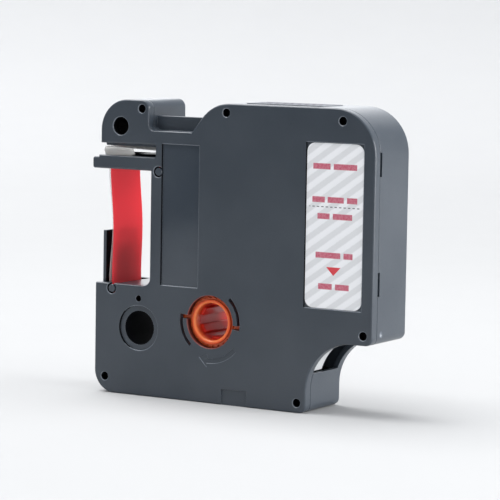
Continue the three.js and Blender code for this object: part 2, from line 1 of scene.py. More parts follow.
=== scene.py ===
"""A label tape cassette, standing on its long edge on a pale sweep in soft studio light.

Shapes are drawn in millimetres in the part's own frame: X along the face, Y from the front
cover to the rear, Z up. Each finished piece is scaled to metres.
"""

import json
import math

import bmesh
import bpy
from mathutils import Matrix, Vector

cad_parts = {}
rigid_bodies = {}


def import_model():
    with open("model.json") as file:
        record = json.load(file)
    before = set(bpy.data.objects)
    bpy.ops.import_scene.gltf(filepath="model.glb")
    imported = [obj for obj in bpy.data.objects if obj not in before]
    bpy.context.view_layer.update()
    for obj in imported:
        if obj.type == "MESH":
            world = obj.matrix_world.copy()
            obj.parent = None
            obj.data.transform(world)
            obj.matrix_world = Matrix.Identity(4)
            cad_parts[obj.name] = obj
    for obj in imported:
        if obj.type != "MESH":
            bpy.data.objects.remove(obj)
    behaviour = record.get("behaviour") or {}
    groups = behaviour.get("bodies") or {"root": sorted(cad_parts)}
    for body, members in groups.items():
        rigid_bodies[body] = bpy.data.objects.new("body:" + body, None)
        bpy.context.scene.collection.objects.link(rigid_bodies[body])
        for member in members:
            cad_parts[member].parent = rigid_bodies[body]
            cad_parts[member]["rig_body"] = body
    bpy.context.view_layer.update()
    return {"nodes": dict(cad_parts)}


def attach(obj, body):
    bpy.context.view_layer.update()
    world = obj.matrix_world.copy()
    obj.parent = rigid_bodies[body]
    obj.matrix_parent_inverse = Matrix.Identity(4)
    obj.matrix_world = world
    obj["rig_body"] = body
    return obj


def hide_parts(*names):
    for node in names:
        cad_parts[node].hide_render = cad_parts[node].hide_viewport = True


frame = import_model()
MM = 0.001

# ---- Driving dimensions, in millimetres ----

# Depth of the case, and the places across it.
DEPTH = 16.2
FRONT = -DEPTH / 2
REAR = DEPTH / 2
COVER_PLATE = 1.5
COVER_DEPTH = 2.3
SEAM = 0.1
FLOOR = 1.5
WALL = 1.2
COVER_END = FRONT + COVER_DEPTH
PARTING = COVER_END + SEAM
INSIDE_FRONT = FRONT + COVER_PLATE
INSIDE_REAR = REAR - FLOOR
FRONT_ROUND = 0.45
REAR_ROUND = 0.5
SEAM_ROUND = 0.12

# Heights and sides of the case outline.
TOP = 69
LEFT = -36.4
RIGHT = 37.5
FOOT_RIGHT = 20.9
LOBE_BOTTOM = 16.6
CUTOUT_RADIUS = 11.3
CUTOUT_SPOT = (FOOT_RIGHT + CUTOUT_RADIUS, LOBE_BOTTOM - CUTOUT_RADIUS)
HEAD_LEFT = -35.25
HEAD_RIGHT = -22
HEAD_BOTTOM = 58.7
REAR_HEAD_BOTTOM = 58.05
ARM_TIP = -37.5
ARM_TOP = 55.9
ARM_STEP = 0.5
ARM_STEP_LEFT = -35.85
ARM_BOTTOM = 52.7
SLOT_END = -20.1
MOUTH_RIGHT = -21.3
MOUTH_BOTTOM = 25.9
NOTCH_FLOOR = 62.1
NOTCH_SLOPE = 1.26
CREST = -4.8
EXIT_SLIT = 8.8

# The web: label tape and ink ribbon.
TAPE_WIDTH = 12
RIBBON_WIDTH = 12.2
WEB_THICKNESS = 0.16
TAPE_LINE = -34.1
RIBBON_LINE = -33.6

# Spools, all turning about axes along Y.
TAPE_ROLL = {"spot": (14.8, 42.3), "spindle": 7.6, "bore": 7.7, "core": 9.2, "full": 19.8}
SUPPLY = {"spot": (-12.6, 45.5), "spindle": 1.9, "bore": 2, "core": 3.6, "full": 6.2}
HUB_SPOT = (-4.65, 18.8)
TAKEUP = {"spot": HUB_SPOT, "core": 5.4, "full": 6, "flange": 8.3}
HUB_HOLE = 6.05
HUB_TEETH = 5.9
HUB_ROOT = 5.45
HUB_TOOTH_COUNT = 24
HUB_RING = 5.2
HUB_BORE = 4.35
HUB_SPLINE = 3.65
HUB_SPLINE_COUNT = 6
HUB_RECESS = 0.7
HUB_JOURNAL = 5.1
HUB_REAR_HOLE = 5.2
FILM_RADIUS = 20.3
FILM_THICKNESS = 0.12

# Pins, pegs and holes.
PIN_RADIUS = 0.95
PIN_SOCKET = 0.97
SOCKET_DEPTH = 1
PIN_HOLE = 1.28
UPPER_PIN = (-19.2, 52.6)
LOWER_PIN = (-31.8, 24.7)
PIN_SPOTS = (UPPER_PIN, LOWER_PIN)
PEG_RADIUS = 0.9
PEG_HOLE = 0.97
PEG_TOP = FRONT + 1.7
PILLAR = 1.9
PEG_SPOTS = ((-23.9, 67), (-1.05, 66.9), (29.1, 66.2), (35.2, 18.8), (18.6, 2.3), (-33.5, 3.8))
HEAD_SPOT = (-29.7, 62.8)
HEAD_HOLE = 2.1
HEAD_TUBE = 3.1
POST_SPOT = (-24.1, 15.9)
POST_HOLE = 4
POST_TUBE = 5
POST_WELL = 5.25
POST_SINK = 0.5
STUD_SPOT = (-24.2, 22.8)
STUD_HOLE = 0.73

# Where the rear case was fed with plastic: a dimple left by a ball.
GATE_RADIUS = 0.9
GATE = (RIGHT + GATE_RADIUS - 0.35, FRONT + 4.3, LOBE_BOTTOM + 2.3)

# Shallow panels in the front face, and the labels.
PANEL_SINK = 0.35
PANEL = (-18.1, -8.15, 26.45, 59.1)
LABEL_BAY = (20.1, 34.6, 24.2, 61.25)
BOTTOM_BAY = (-1.25, 5.3, -1, 3.55)
LABEL_MARGIN = 0.06
LABEL_CORNER = 2
LABEL_THICKNESS = 0.15
LABEL_GAP = 0.01
TOP_LABEL = {"x0": 2, "x1": 22, "from_seam": 1, "width": 10}

# Finish of the edges, and how finely round things are drawn.
RIM = 0.2
BEYOND = 1
LAP = 0.1
ARC_STEP = math.radians(7)
ROUND = 96
MID_ROUND = 56
SMALL_ROUND = 32

# ---- Outlines ----


def heading(a, b):
    return (b - a).normalized()


def cross(u, v):
    return u.x * v.y - u.y * v.x


def meeting(p, u, q, v):
    """Where the line through p along u meets the line through q along v."""
    return p + u * (cross(q - p, v) / cross(u, v))


def filleted(corners, inset=0.0, arc_step=ARC_STEP):
    """A closed outline from sharp corners (a, b, radius), anticlockwise. A positive inset moves
    every side inwards. The number of points doesn't depend on the inset."""
    smallest = 0.02
    points = [Vector((a, b)) for a, b, _ in corners]
    count = len(points)
    along = [heading(p, points[(i + 1) % count]) for i, p in enumerate(points)]
    side = [p + Vector((-u.y, u.x)) * inset for p, u in zip(points, along)]
    result = []
    for i, (_, _, radius) in enumerate(corners):
        u = along[i - 1]
        v = along[i]
        corner = meeting(side[i - 1], u, side[i], v)
        turn = math.atan2(cross(u, v), u.dot(v))
        if radius == 0:
            result.append(corner)
            continue
        bend = math.copysign(1, turn)
        radius = max(radius - bend * inset, smallest)
        start = corner - u * radius * math.tan(abs(turn) / 2)
        centre = start + Vector((-u.y, u.x)) * bend * radius
        first = math.atan2(start.y - centre.y, start.x - centre.x)
        steps = max(3, math.ceil(abs(turn) / arc_step))
        for k in range(steps + 1):
            angle = first + turn * k / steps
            result.append(centre + Vector((math.cos(angle), math.sin(angle))) * radius)
    return result


def rectangle(x0, x1, z0, z1, radius=0.0):
    return [(x0, z0, radius), (x1, z0, radius), (x1, z1, radius), (x0, z1, radius)]


def case_corners(head_bottom=HEAD_BOTTOM):
    """The case seen from the front. The underside of the head block is the only line that
    differs between the cover and the rear case."""
    return [
        (LEFT, 0, 5.3),
        (FOOT_RIGHT, 0, 1.8),
        (FOOT_RIGHT, LOBE_BOTTOM, CUTOUT_RADIUS),
        (RIGHT, LOBE_BOTTOM, 1.8),
        (RIGHT, TOP, 10.4),
        (CREST, TOP, 9.3),
        (CREST - (TOP - NOTCH_FLOOR) / NOTCH_SLOPE, NOTCH_FLOOR, 0.3),
        (HEAD_RIGHT, NOTCH_FLOOR, 1.3),
        (HEAD_RIGHT, TOP, 2),
        (HEAD_LEFT, TOP, 7.2),
        (HEAD_LEFT, head_bottom, 0.15),
        (SLOT_END, head_bottom, 0.4),
        (SLOT_END, ARM_TOP, 0.4),
        (ARM_STEP_LEFT, ARM_TOP, 0.15),
        (ARM_STEP_LEFT, ARM_TOP - ARM_STEP, 0.1),
        (ARM_TIP, ARM_TOP - ARM_STEP, 0.6),
        (ARM_TIP, ARM_BOTTOM, 0.6),
        (MOUTH_RIGHT, ARM_BOTTOM, 0.15),
        (MOUTH_RIGHT, MOUTH_BOTTOM, 1.7),
        (LEFT, MOUTH_BOTTOM, 0.3),
    ]


def polar(x, z, radius, angle):
    return Vector((x + radius * math.cos(angle), z + radius * math.sin(angle)))


def circle(x, z, radius, count):
    return [polar(x, z, radius, 2 * math.pi * k / count) for k in range(count)]


def arc(x, z, radius, start, end, steps):
    """Points on an arc, from start to end in degrees."""
    turns = [math.radians(start + (end - start) * k / steps) for k in range(steps + 1)]
    return [polar(x, z, radius, t) for t in turns]


def ring_sector(x, z, inner, outer, start, end, steps):
    return arc(x, z, outer, start, end, steps) + arc(x, z, inner, end, start, steps)


# ---- Solids ----


def add_object(name, data):
    obj = bpy.data.objects.new(name, data)
    bpy.context.scene.collection.objects.link(obj)
    return obj


def add_mesh(name, verts, faces):
    mesh = bpy.data.meshes.new(name)
    mesh.from_pydata(verts, [], faces)
    return add_object(name, mesh)


def loft(rings, cyclic=False):
    """A closed solid through rings of points with equal counts. A cyclic loft joins its last
    ring to its first; any other is capped at both ends."""
    count = len(rings[0])
    verts = [p for ring in rings for p in ring]
    spans = len(rings) if cyclic else len(rings) - 1
    faces = []
    for i in range(spans):
        here = i * count
        there = (i + 1) % len(rings) * count
        for j in range(count):
            k = (j + 1) % count
            faces.append((here + j, here + k, there + k, there + j))
    if not cyclic:
        faces.append(tuple(range(count)))
        faces.append(tuple(range(len(verts) - count, len(verts))))
    obj = add_mesh("solid", verts, faces)
    shape = bmesh.new()
    shape.from_mesh(obj.data)
    bmesh.ops.recalc_face_normals(shape, faces=shape.faces)
    shape.to_mesh(obj.data)
    shape.free()
    return obj


def at_depth(points, y):
    return [(p.x, y, p.y) for p in points]


def ring(spot, radius, y, count=ROUND):
    return at_depth(circle(*spot, radius, count), y)


def prism(points, y0, y1):
    """A flat outline carried along Y."""
    return loft([at_depth(points, y0), at_depth(points, y1)])


def block(x0, x1, y0, y1, z0, z1):
    return prism(filleted(rectangle(x0, x1, z0, z1)), y0, y1)


def quarter(radius, steps):
    """Inset and depth along a quarter round, from the face of a slab to its side."""
    turns = [math.pi / 2 * k / steps for k in range(steps + 1)] if radius else [math.pi / 2]
    return [(radius * (1 - math.sin(t)), radius * (1 - math.cos(t))) for t in turns]


def rounded_over(outline, y0, y1, round0, round1, steps):
    """A solid along Y with both ends rounded over. outline gives its points for an inset."""
    rings = [at_depth(outline(inset), y0 + depth) for inset, depth in quarter(round0, steps)]
    far = [at_depth(outline(inset), y1 - depth) for inset, depth in quarter(round1, steps)]
    return loft(rings + far[::-1])


def slab(corners, y0, y1, round0=0.0, round1=0.0):
    """A filleted outline carried along Y, with its two ends rounded over."""
    return rounded_over(lambda inset: filleted(corners, inset), y0, y1, round0, round1, 4)


def rod(spot, radius, y0, y1, count=ROUND, edge=0.0):
    """A round bar along Y. A positive edge rounds both of its ends over."""
    return rounded_over(lambda inset: circle(*spot, radius - inset, count), y0, y1, edge, edge, 3)


def tube(spot, inner, outer, y0, y1, count=ROUND, edge=0.05):
    """A tube along Y, with every edge slightly rounded."""
    section = filleted(rectangle(y0, y1, inner, outer, edge), arc_step=math.radians(30))
    return loft([ring(spot, p.y, p.x, count) for p in section], cyclic=True)


def sunk(outline, depth, rim):
    """A tool for a hole of that depth in the front face, with a rounded rim. outline gives the
    hole's points for a growth."""
    turns = [math.radians(t) for t in (14, 35, 58, 90)]
    steps = [(rim * (1 - math.sin(t)), rim * (1 - math.cos(t))) for t in turns]
    steps = [(steps[0][0], -BEYOND), *steps, (0, depth)]
    return loft([at_depth(outline(growth), FRONT + y) for growth, y in steps])


def drill(spot, radius, depth, count=SMALL_ROUND, rim=RIM):
    return sunk(lambda growth: circle(*spot, radius + growth, count), depth, rim)


def engraving(corners, depth, rim=RIM):
    return sunk(lambda growth: filleted(corners, -growth), depth, rim)


def pocket(bay):
    return engraving(rectangle(*bay, radius=0.12), PANEL_SINK)


def combine(base, operation, tools):
    for tool in tools:
        step = base.modifiers.new("step", "BOOLEAN")
        step.operation = operation
        step.solver = "MANIFOLD"
        step.object = tool
    graph = bpy.context.evaluated_depsgraph_get()
    result = bpy.data.meshes.new_from_object(base.evaluated_get(graph))
    base.modifiers.clear()
    base.data = result
    for tool in tools:
        bpy.data.objects.remove(tool)
    return base


def cut(base, *tools):
    return combine(base, "DIFFERENCE", tools)


def join(base, *others):
    return combine(base, "UNION", others)


def common(base, *others):
    return combine(base, "INTERSECT", others)


def span_box(x0, x1, z0, z1):
    return block(x0, x1, INSIDE_FRONT, INSIDE_REAR, z0, z1)


def web_passages():
    """Where the tape and the ribbon pass through the walls of the case."""
    slot_top = REAR_HEAD_BOTTOM - 0.15
    pin_side = LOWER_PIN[0] + 1.4
    low = MOUTH_BOTTOM - WALL - LAP
    return [
        span_box(SLOT_END - LAP, SLOT_END + WALL + LAP, ARM_TOP + 0.5, slot_top),
        span_box(LEFT + WALL, pin_side, low, MOUTH_BOTTOM + BEYOND),
        span_box(LEFT - BEYOND, LEFT + WALL + LAP, EXIT_SLIT - 1.2, EXIT_SLIT + 1.8),
    ]


def arm_bay():
    """The arm is open between the cover and the rear case: ribs inside it guide the webs."""
    return span_box(ARM_TIP - BEYOND, MOUTH_RIGHT + WALL, ARM_BOTTOM - BEYOND, ARM_TOP + ARM_STEP)


# ---- Finished pieces ----


def finish_piece(obj, node_name, name, material, sharp=30):
    """Scales a solid to metres, gives it its name, shading and finish, and puts it in the place
    of its CAD node, on that node's body."""
    obj.name = name
    obj.data.name = name
    obj.data.transform(Matrix.Scale(MM, 4))
    obj.data.materials.clear()
    obj.data.materials.append(material)
    obj.data.shade_smooth()
    obj.data.set_sharp_from_angle(angle=math.radians(sharp))
    weighted = obj.modifiers.new("flat faces stay flat", "WEIGHTED_NORMAL")
    weighted.keep_sharp = True
    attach(obj, frame["nodes"][node_name]["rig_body"])
    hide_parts(node_name)


def paint(obj, material, wanted):
    """Gives the faces whose centre, in millimetres, and normal satisfy wanted another finish."""
    obj.data.materials.append(material)
    index = len(obj.data.materials) - 1
    for face in obj.data.polygons:
        if wanted(face.center / MM, face.normal):
            face.material_index = index


# Every round hole of the front face: its place, its radius and where its painted shade starts.
DARK_FROM = RIM + 0.02
ROUND_HOLES = [
    *[(spot, PEG_HOLE, DARK_FROM) for spot in PEG_SPOTS],
    *[(spot, PIN_HOLE, DARK_FROM) for spot in PIN_SPOTS],
    (HEAD_SPOT, HEAD_HOLE, DARK_FROM),
    (POST_SPOT, POST_HOLE, POST_SINK + 0.02),
    (STUD_SPOT, STUD_HOLE, 0.1),
]


def off_axis(c, spot):
    """Distance of a point from an axis along Y."""
    return math.hypot(c.x - spot[0], c.z - spot[1])


def in_hole(c, _normal):
    """The deep part of a round hole."""
    return any(c.y - FRONT > d and off_axis(c, s) < r + 0.05 for s, r, d in ROUND_HOLES)


def on_outline(c, bay, reach):
    """Whether a place lies within reach of the outline of a rectangular bay."""
    x0, x1, z0, z1 = bay
    outside = max(x0 - c.x, c.x - x1, z0 - c.z, c.z - z1)
    return abs(outside) < reach


def paint_rims(obj, polish_and_highlight, shade):
    """Polishes the rounded rims in the front face and paints them paler as a painted highlight.
    In the shallow bays the sides that face right are painted dark as painted shade."""
    reach = RIM + 0.1
    arrow = 10.8

    def at_bay(c):
        well = abs(off_axis(c, POST_SPOT) - POST_WELL) < reach
        return well or any(on_outline(c, bay, reach) for bay in (PANEL, LABEL_BAY))

    def at_hole(c):
        return any(abs(off_axis(c, spot) - radius) < reach for spot, radius, _ in ROUND_HOLES)

    def at_arrow(c):
        return c.z < HUB_SPOT[1] - HUB_HOLE and off_axis(c, HUB_SPOT) < arrow

    def sloping(c, n, depth):
        return n.y > -0.995 and c.y - FRONT < depth

    def polished_and_lit(c, n):
        lit = n.x < 0.3 and at_bay(c) or at_hole(c) or n.z > -0.2 and at_arrow(c)
        return sloping(c, n, RIM) and lit

    paint(obj, polish_and_highlight, polished_and_lit)
    bay_side = PANEL_SINK + 0.2
    paint(obj, shade, lambda c, n: sloping(c, n, bay_side) and n.x > 0.3 and at_bay(c))


def paint_hub_rim(obj, glow, wall_glow):
    """The hub's orange light is painted onto the rim of the hub hole, and a deeper painted
    shade of it onto its wall.
    """
    rim = FRONT + RIM
    reach = HUB_HOLE + RIM
    paint(obj, glow, lambda c, n: n.y > -0.995 and c.y < rim and off_axis(c, HUB_SPOT) < reach)
    paint(obj, wall_glow, lambda c, n: c.y > rim and off_axis(c, HUB_SPOT) < HUB_HOLE + 0.05)


# ---- Node helpers ----


def new_material(name):
    """A new material, its node tree, its shader and the place on the object in metres."""
    material = bpy.data.materials.new(name)
    material.use_nodes = True
    tree = material.node_tree
    where = node(tree, "TexCoord").outputs["Object"]
    return material, tree, tree.nodes["Principled BSDF"], where


def fill(tree, made, **inputs):
    """Sets a node's inputs to values or links them from sockets. An input is named by its label
    in lower case with _ for a space, or by in0, in1 and so on."""
    for key, value in inputs.items():
        if key.startswith("in") and key[2:].isdigit():
            socket = made.inputs[int(key[2:])]
        else:
            socket = next(s for s in made.inputs if s.name.lower().replace(" ", "_") == key)
        if isinstance(value, bpy.types.NodeSocket):
            tree.links.new(value, socket)
        else:
            socket.default_value = (*value, 1) if socket.type == "RGBA" else value


def node(tree, kind, settings=None, **inputs):
    """A shader node of that kind with its settings and inputs."""
    made = tree.nodes.new("ShaderNode" + kind)
    for key, value in (settings or {}).items():
        setattr(made, key, value)
    fill(tree, made, **inputs)
    return made


def axes(tree, where):
    return node(tree, "SeparateXYZ", vector=where).outputs


def noise(tree, where, scale, detail=3, roughness=0.5):
    sizes = {"scale": scale, "detail": detail, "roughness": roughness}
    return node(tree, "TexNoise", vector=where, **sizes).outputs["Fac"]


def maths(tree, operation, a, b=0.0):
    return node(tree, "Math", {"operation": operation}, in0=a, in1=b).outputs[0]


def times(tree, a, b):
    return maths(tree, "MULTIPLY", a, b)


def vector_maths(tree, operation, a, b=(0, 0, 0)):
    made = node(tree, "VectorMath", {"operation": operation}, in0=a, in1=b)
    return made.outputs["Value" if operation in ("DOT_PRODUCT", "LENGTH") else "Vector"]


def remap(tree, value, low, high, from_low=0.0, from_high=1.0, smooth=False):
    kind = {"interpolation_type": "SMOOTHSTEP" if smooth else "LINEAR"}
    span = {"from_min": from_low, "from_max": from_high, "to_min": low, "to_max": high}
    return node(tree, "MapRange", kind, value=value, **span).outputs[0]


def mix_colour(tree, share, a, b):
    """Colour a where share is nought, and b where it is one."""
    return node(tree, "Mix", {"data_type": "RGBA"}, in0=share, in6=a, in7=b).outputs[2]


def bump(tree, height, distance, **base):
    """A bumped normal for a distance in millimetres, over the normal in base if there is one."""
    made = node(tree, "Bump", strength=1, distance=distance * MM, height=height, **base)
    return made.outputs["Normal"]


def soft_edges(tree, radius):
    return node(tree, "Bevel", {"samples": 4}, radius=radius * MM).outputs["Normal"]


# ---- Finishes ----

SLATE = (0.036, 0.047, 0.062)
SLATE_WORN = (0.075, 0.088, 0.105)
# Painted highlight on edges and rims.
EDGE_HIGHLIGHT = (0.25, 0.28, 0.32)
# The hub's orange light painted onto the hub hole's rim, and a deeper shade of it on its wall.
RIM_GLOW = (0.34, 0.055, 0.03)
WALL_GLOW = (0.07, 0.009, 0.004)
GRAPHITE = (0.022, 0.025, 0.03)
ORANGE = (0.78, 0.085, 0.014)
# On the hub: painted highlight on its front ring, a deeper red for painted shade down its bore and
# for random mottle, and painted shade where the cover hides it.
ORANGE_HIGHLIGHT = (0.86, 0.22, 0.065)
ORANGE_DEEP = (0.55, 0.014, 0.004)
ORANGE_SHADE = (0.6, 0.085, 0.02)
INK_RED = (0.7, 0.06, 0.075)
INK_SHADE = (0.2, 0.006, 0.01)
TAPE_WHITE = (0.82, 0.82, 0.8)
PAPER = (0.86, 0.868, 0.89)
PAPER_STRIPE = (0.71, 0.718, 0.735)
PRINT_RED = (0.5, 0.05, 0.11)
MARK_RED = (0.66, 0.045, 0.06)
PRINT_GREY = (0.06, 0.05, 0.07)


def edge_highlight_share(tree, rounded):
    """One on edges and nought on flat faces: how far the rounded normal leans from the face's.
    It sets the share of painted highlight on the edges.
    """
    straight = node(tree, "NewGeometry").outputs["Normal"]
    lean = vector_maths(tree, "DOT_PRODUCT", rounded, straight)
    return remap(tree, lean, 1, 0, 0.75, 0.97)


def case_plastic(name, roughness=0.3, grain=1, waviness=0, pale=0, edge_colour=EDGE_HIGHLIGHT):
    """Slate plastic with a fine grain and faint cloudiness. Its edges are painted paler as a
    painted highlight, and a share of that edge colour is painted over all of it."""
    material, tree, shader, where = new_material(name)
    cloud = noise(tree, where, 55, detail=4)
    speck = noise(tree, where, 2600, detail=2)
    base = mix_colour(tree, remap(tree, cloud, 0, 0.35, 0.35, 0.7), SLATE, SLATE_WORN)
    darker = mix_colour(tree, remap(tree, speck, 0, 0.12, 0.4, 0.75), base, GRAPHITE)
    normal = soft_edges(tree, 0.13)
    edge = maths(tree, "MAXIMUM", edge_highlight_share(tree, normal), pale)
    paler = mix_colour(tree, times(tree, edge, 0.7), darker, edge_colour)
    gloss = maths(tree, "ADD", remap(tree, speck, -0.05, 0.05), roughness)
    if waviness:
        normal = bump(tree, noise(tree, where, 90, detail=1), waviness, normal=normal)
    if grain:
        grit = noise(tree, where, 4200, roughness=0.6)
        normal = bump(tree, grit, 0.003 * grain, normal=normal)
    fill(tree, shader, base_color=paler, roughness=gloss, normal=normal, ior=1.5)
    return material


def bore_shade():
    """Painted shade for the case's deep holes and shaded nooks: nearly black, with a trace of
    texture.
    """
    material, tree, shader, where = new_material("case_plastic_holes")
    speck = noise(tree, where, 900)
    shade = mix_colour(tree, speck, (0.0012, 0.0015, 0.0025), (0.005, 0.0055, 0.0075))
    fill(tree, shader, base_color=shade, roughness=0.7, specular_ior_level=0.05)
    return material


def painted_rib_reflection():
    """The rib behind the finger cut-out, painted pale grey as a painted reflection of the bright
    surroundings on its dark plastic; slightly waxy.
    """
    material, tree, shader, where = new_material("case_plastic_rib")
    cloud = noise(tree, where, 300)
    shade = mix_colour(tree, cloud, (0.5, 0.52, 0.54), (0.68, 0.69, 0.7))
    gloss = remap(tree, cloud, 0.25, 0.4)
    fill(tree, shader, base_color=shade, roughness=gloss, normal=bump(tree, cloud, 0.01))
    return material


def from_axis(tree, where, spool):
    """Distance from a spool's axis, in metres."""
    x, z = spool["spot"]
    centred = vector_maths(tree, "SUBTRACT", where, (x * MM, 0, z * MM))
    return vector_maths(tree, "LENGTH", vector_maths(tree, "MULTIPLY", centred, (1, 0, 1)))


def hub_plastic():
    """Orange, slightly see-through acetal with a waxy gloss. Its front ring is painted lighter
    as a painted highlight, it is painted deeper red down the bore as painted shade, and painted
    dark where the teeth and the flange lie in the cover's shade."""
    material, tree, shader, where = new_material("hub_plastic")
    cloud = noise(tree, where, 240)
    radius = from_axis(tree, where, TAKEUP)
    depth = axes(tree, where)["Y"]
    on_ring = remap(tree, radius, 0, 1, (HUB_BORE + 0.2) * MM, (HUB_BORE + 0.6) * MM, smooth=True)
    front = mix_colour(tree, on_ring, ORANGE_HIGHLIGHT, ORANGE)
    inward = remap(tree, depth, 0, 1, (FRONT + HUB_RECESS + 0.25) * MM, (FRONT + 3) * MM)
    colour = mix_colour(tree, inward, front, ORANGE_DEEP)
    mottled = mix_colour(tree, remap(tree, cloud, 0, 0.2, 0.4, 0.7), colour, ORANGE_DEEP)
    beyond = remap(tree, radius, 0, 1, (HUB_BORE + 0.5) * MM, (HUB_RING + 0.05) * MM)
    shaded = mix_colour(tree, beyond, mottled, ORANGE_SHADE)
    gloss = remap(tree, cloud, 0.24, 0.36)
    fine = bump(tree, noise(tree, where, 1800, detail=2), 0.004, normal=soft_edges(tree, 0.1))
    fill(tree, shader, base_color=shaded, roughness=gloss, normal=fine, specular_ior_level=0.36)
    reach = (1.2 * MM, 0.3 * MM, 0.1 * MM)
    fill(tree, shader, subsurface_weight=0.15, subsurface_radius=reach, subsurface_scale=1)
    return material


def core_plastic():
    """Dark moulded plastic of the hidden cores."""
    material, tree, shader, where = new_material("core_plastic")
    speck = noise(tree, where, 900)
    colour = mix_colour(tree, speck, GRAPHITE, SLATE)
    normal = bump(tree, speck, 0.01, normal=soft_edges(tree, 0.08))
    fill(tree, shader, base_color=colour, roughness=remap(tree, speck, 0.4, 0.6), normal=normal)
    return material


def see_through(tree, shader, share, tint, glow=0.0, glow_colour=None):
    """Lets a share of the light straight through the film, with that tint. Of the rest, the
    glow share comes through scattered."""
    surface = shader.outputs["BSDF"]
    layers = [(share, "BsdfTransparent", tint)]
    if glow:
        layers.insert(0, (glow, "BsdfTranslucent", glow_colour))
    for amount, kind, colour in layers:
        layer = node(tree, kind, color=colour).outputs["BSDF"]
        surface = node(tree, "MixShader", in0=amount, in1=surface, in2=layer).outputs[0]
    fill(tree, tree.nodes["Material Output"], surface=surface)


def ink_film():
    """Glossy red ink on thin film: light passes through it, tinted, and it is faintly rippled.
    A little emission is painted glow that makes the film brighter."""
    material, tree, shader, where = new_material("ink_film")
    ripple = noise(tree, where, 60, detail=1)
    streak = node(tree, "Mapping", {"vector_type": "POINT"}, vector=where, scale=(1, 1, 0.04))
    lines = noise(tree, streak.outputs[0], 1400, detail=2)
    shade = mix_colour(tree, remap(tree, lines, 0, 0.25), INK_RED, (0.5, 0.014, 0.022))
    gloss = remap(tree, ripple, 0.24, 0.34)
    fill(tree, shader, base_color=shade, roughness=gloss, normal=bump(tree, ripple, 0.04))
    fill(tree, shader, emission_color=(1, 0.27, 0.3), emission_strength=0.32)
    see_through(tree, shader, 0.3, (0.98, 0.21, 0.25), 0.8, (1, 0.21, 0.25))
    return material


def label_tape():
    """Clear laminating tape. It is milky above the arm, where no ribbon lies against it."""
    material, tree, shader, where = new_material("label_tape")
    milk = noise(tree, where, 500)
    shade = mix_colour(tree, remap(tree, milk, 0, 0.3), TAPE_WHITE, (0.68, 0.69, 0.68))
    gloss = remap(tree, milk, 0.2, 0.3)
    fill(tree, shader, base_color=shade, roughness=gloss, normal=bump(tree, milk, 0.01))
    share = remap(tree, axes(tree, where)["Z"], 0.66, 0.2, ARM_BOTTOM * MM, ARM_TOP * MM)
    see_through(tree, shader, share, (0.97, 0.97, 0.96), 0.5, (0.85, 0.86, 0.85))
    return material


def wound_film(name, light, dark, spool, pitch):
    """The side of a wound roll: fine rings round the spool, uneven like real winding."""
    material, tree, shader, where = new_material(name)
    radius = from_axis(tree, where, spool)
    wave = maths(tree, "SINE", times(tree, radius, 2 * math.pi / (pitch * MM)))
    uneven = noise(tree, radius, 1500)
    rings = maths(tree, "ADD", remap(tree, wave, 0, 0.5, -1, 1), remap(tree, uneven, 0, 0.5))
    colour = mix_colour(tree, rings, dark, light)
    fill(tree, shader, base_color=colour, roughness=0.32, normal=bump(tree, rings, 0.02))
    return material


def clear_film():
    """Thin waxed film washers: greyish, see-through, with soft scuffs."""
    material, tree, shader, where = new_material("clear_film")
    scuff = remap(tree, noise(tree, where, 350, detail=5), 0.15, 0.45, 0.3, 0.7)
    fill(tree, shader, base_color=(0.7, 0.73, 0.76), roughness=scuff)
    see_through(tree, shader, 0.6, (0.96, 0.97, 0.98))
    return material


def inside(tree, value, low, high, edge):
    """One where value lies between low and high, with that softness at both ends."""
    rise = remap(tree, value, 0, 1, low - edge, low + edge)
    return times(tree, rise, remap(tree, value, 1, 0, high - edge, high + edge))


def dashes(tree, value, pitch, low, high, edge):
    """A row of dashes along value: each is inked from low to high in shares of its pitch."""
    beat = maths(tree, "FRACT", maths(tree, "DIVIDE", value, pitch * MM))
    return inside(tree, beat, low, high, edge)


def striped_paper(tree, x, z, tooth):
    """Label stock: off-white with diagonal grey stripes and a faint tooth."""
    period = 2.67 * MM
    tilt = math.radians(35)
    upward = times(tree, z, math.cos(tilt))
    along = maths(tree, "ADD", times(tree, x, -math.sin(tilt)), upward)
    wave = maths(tree, "SINE", times(tree, along, 2 * math.pi / period))
    ragged = maths(tree, "ADD", wave, remap(tree, tooth, -0.5, 0.5))
    share = remap(tree, ragged, 0, 1, -0.45, 0.45, smooth=True)
    return mix_colour(tree, share, PAPER_STRIPE, PAPER)


def printed_bar(tree, x, z, x0, x1, z0, z1):
    soft = 0.05 * MM
    across = inside(tree, x, x0 * MM, x1 * MM, soft)
    return times(tree, across, inside(tree, z, z0 * MM, z1 * MM, soft))


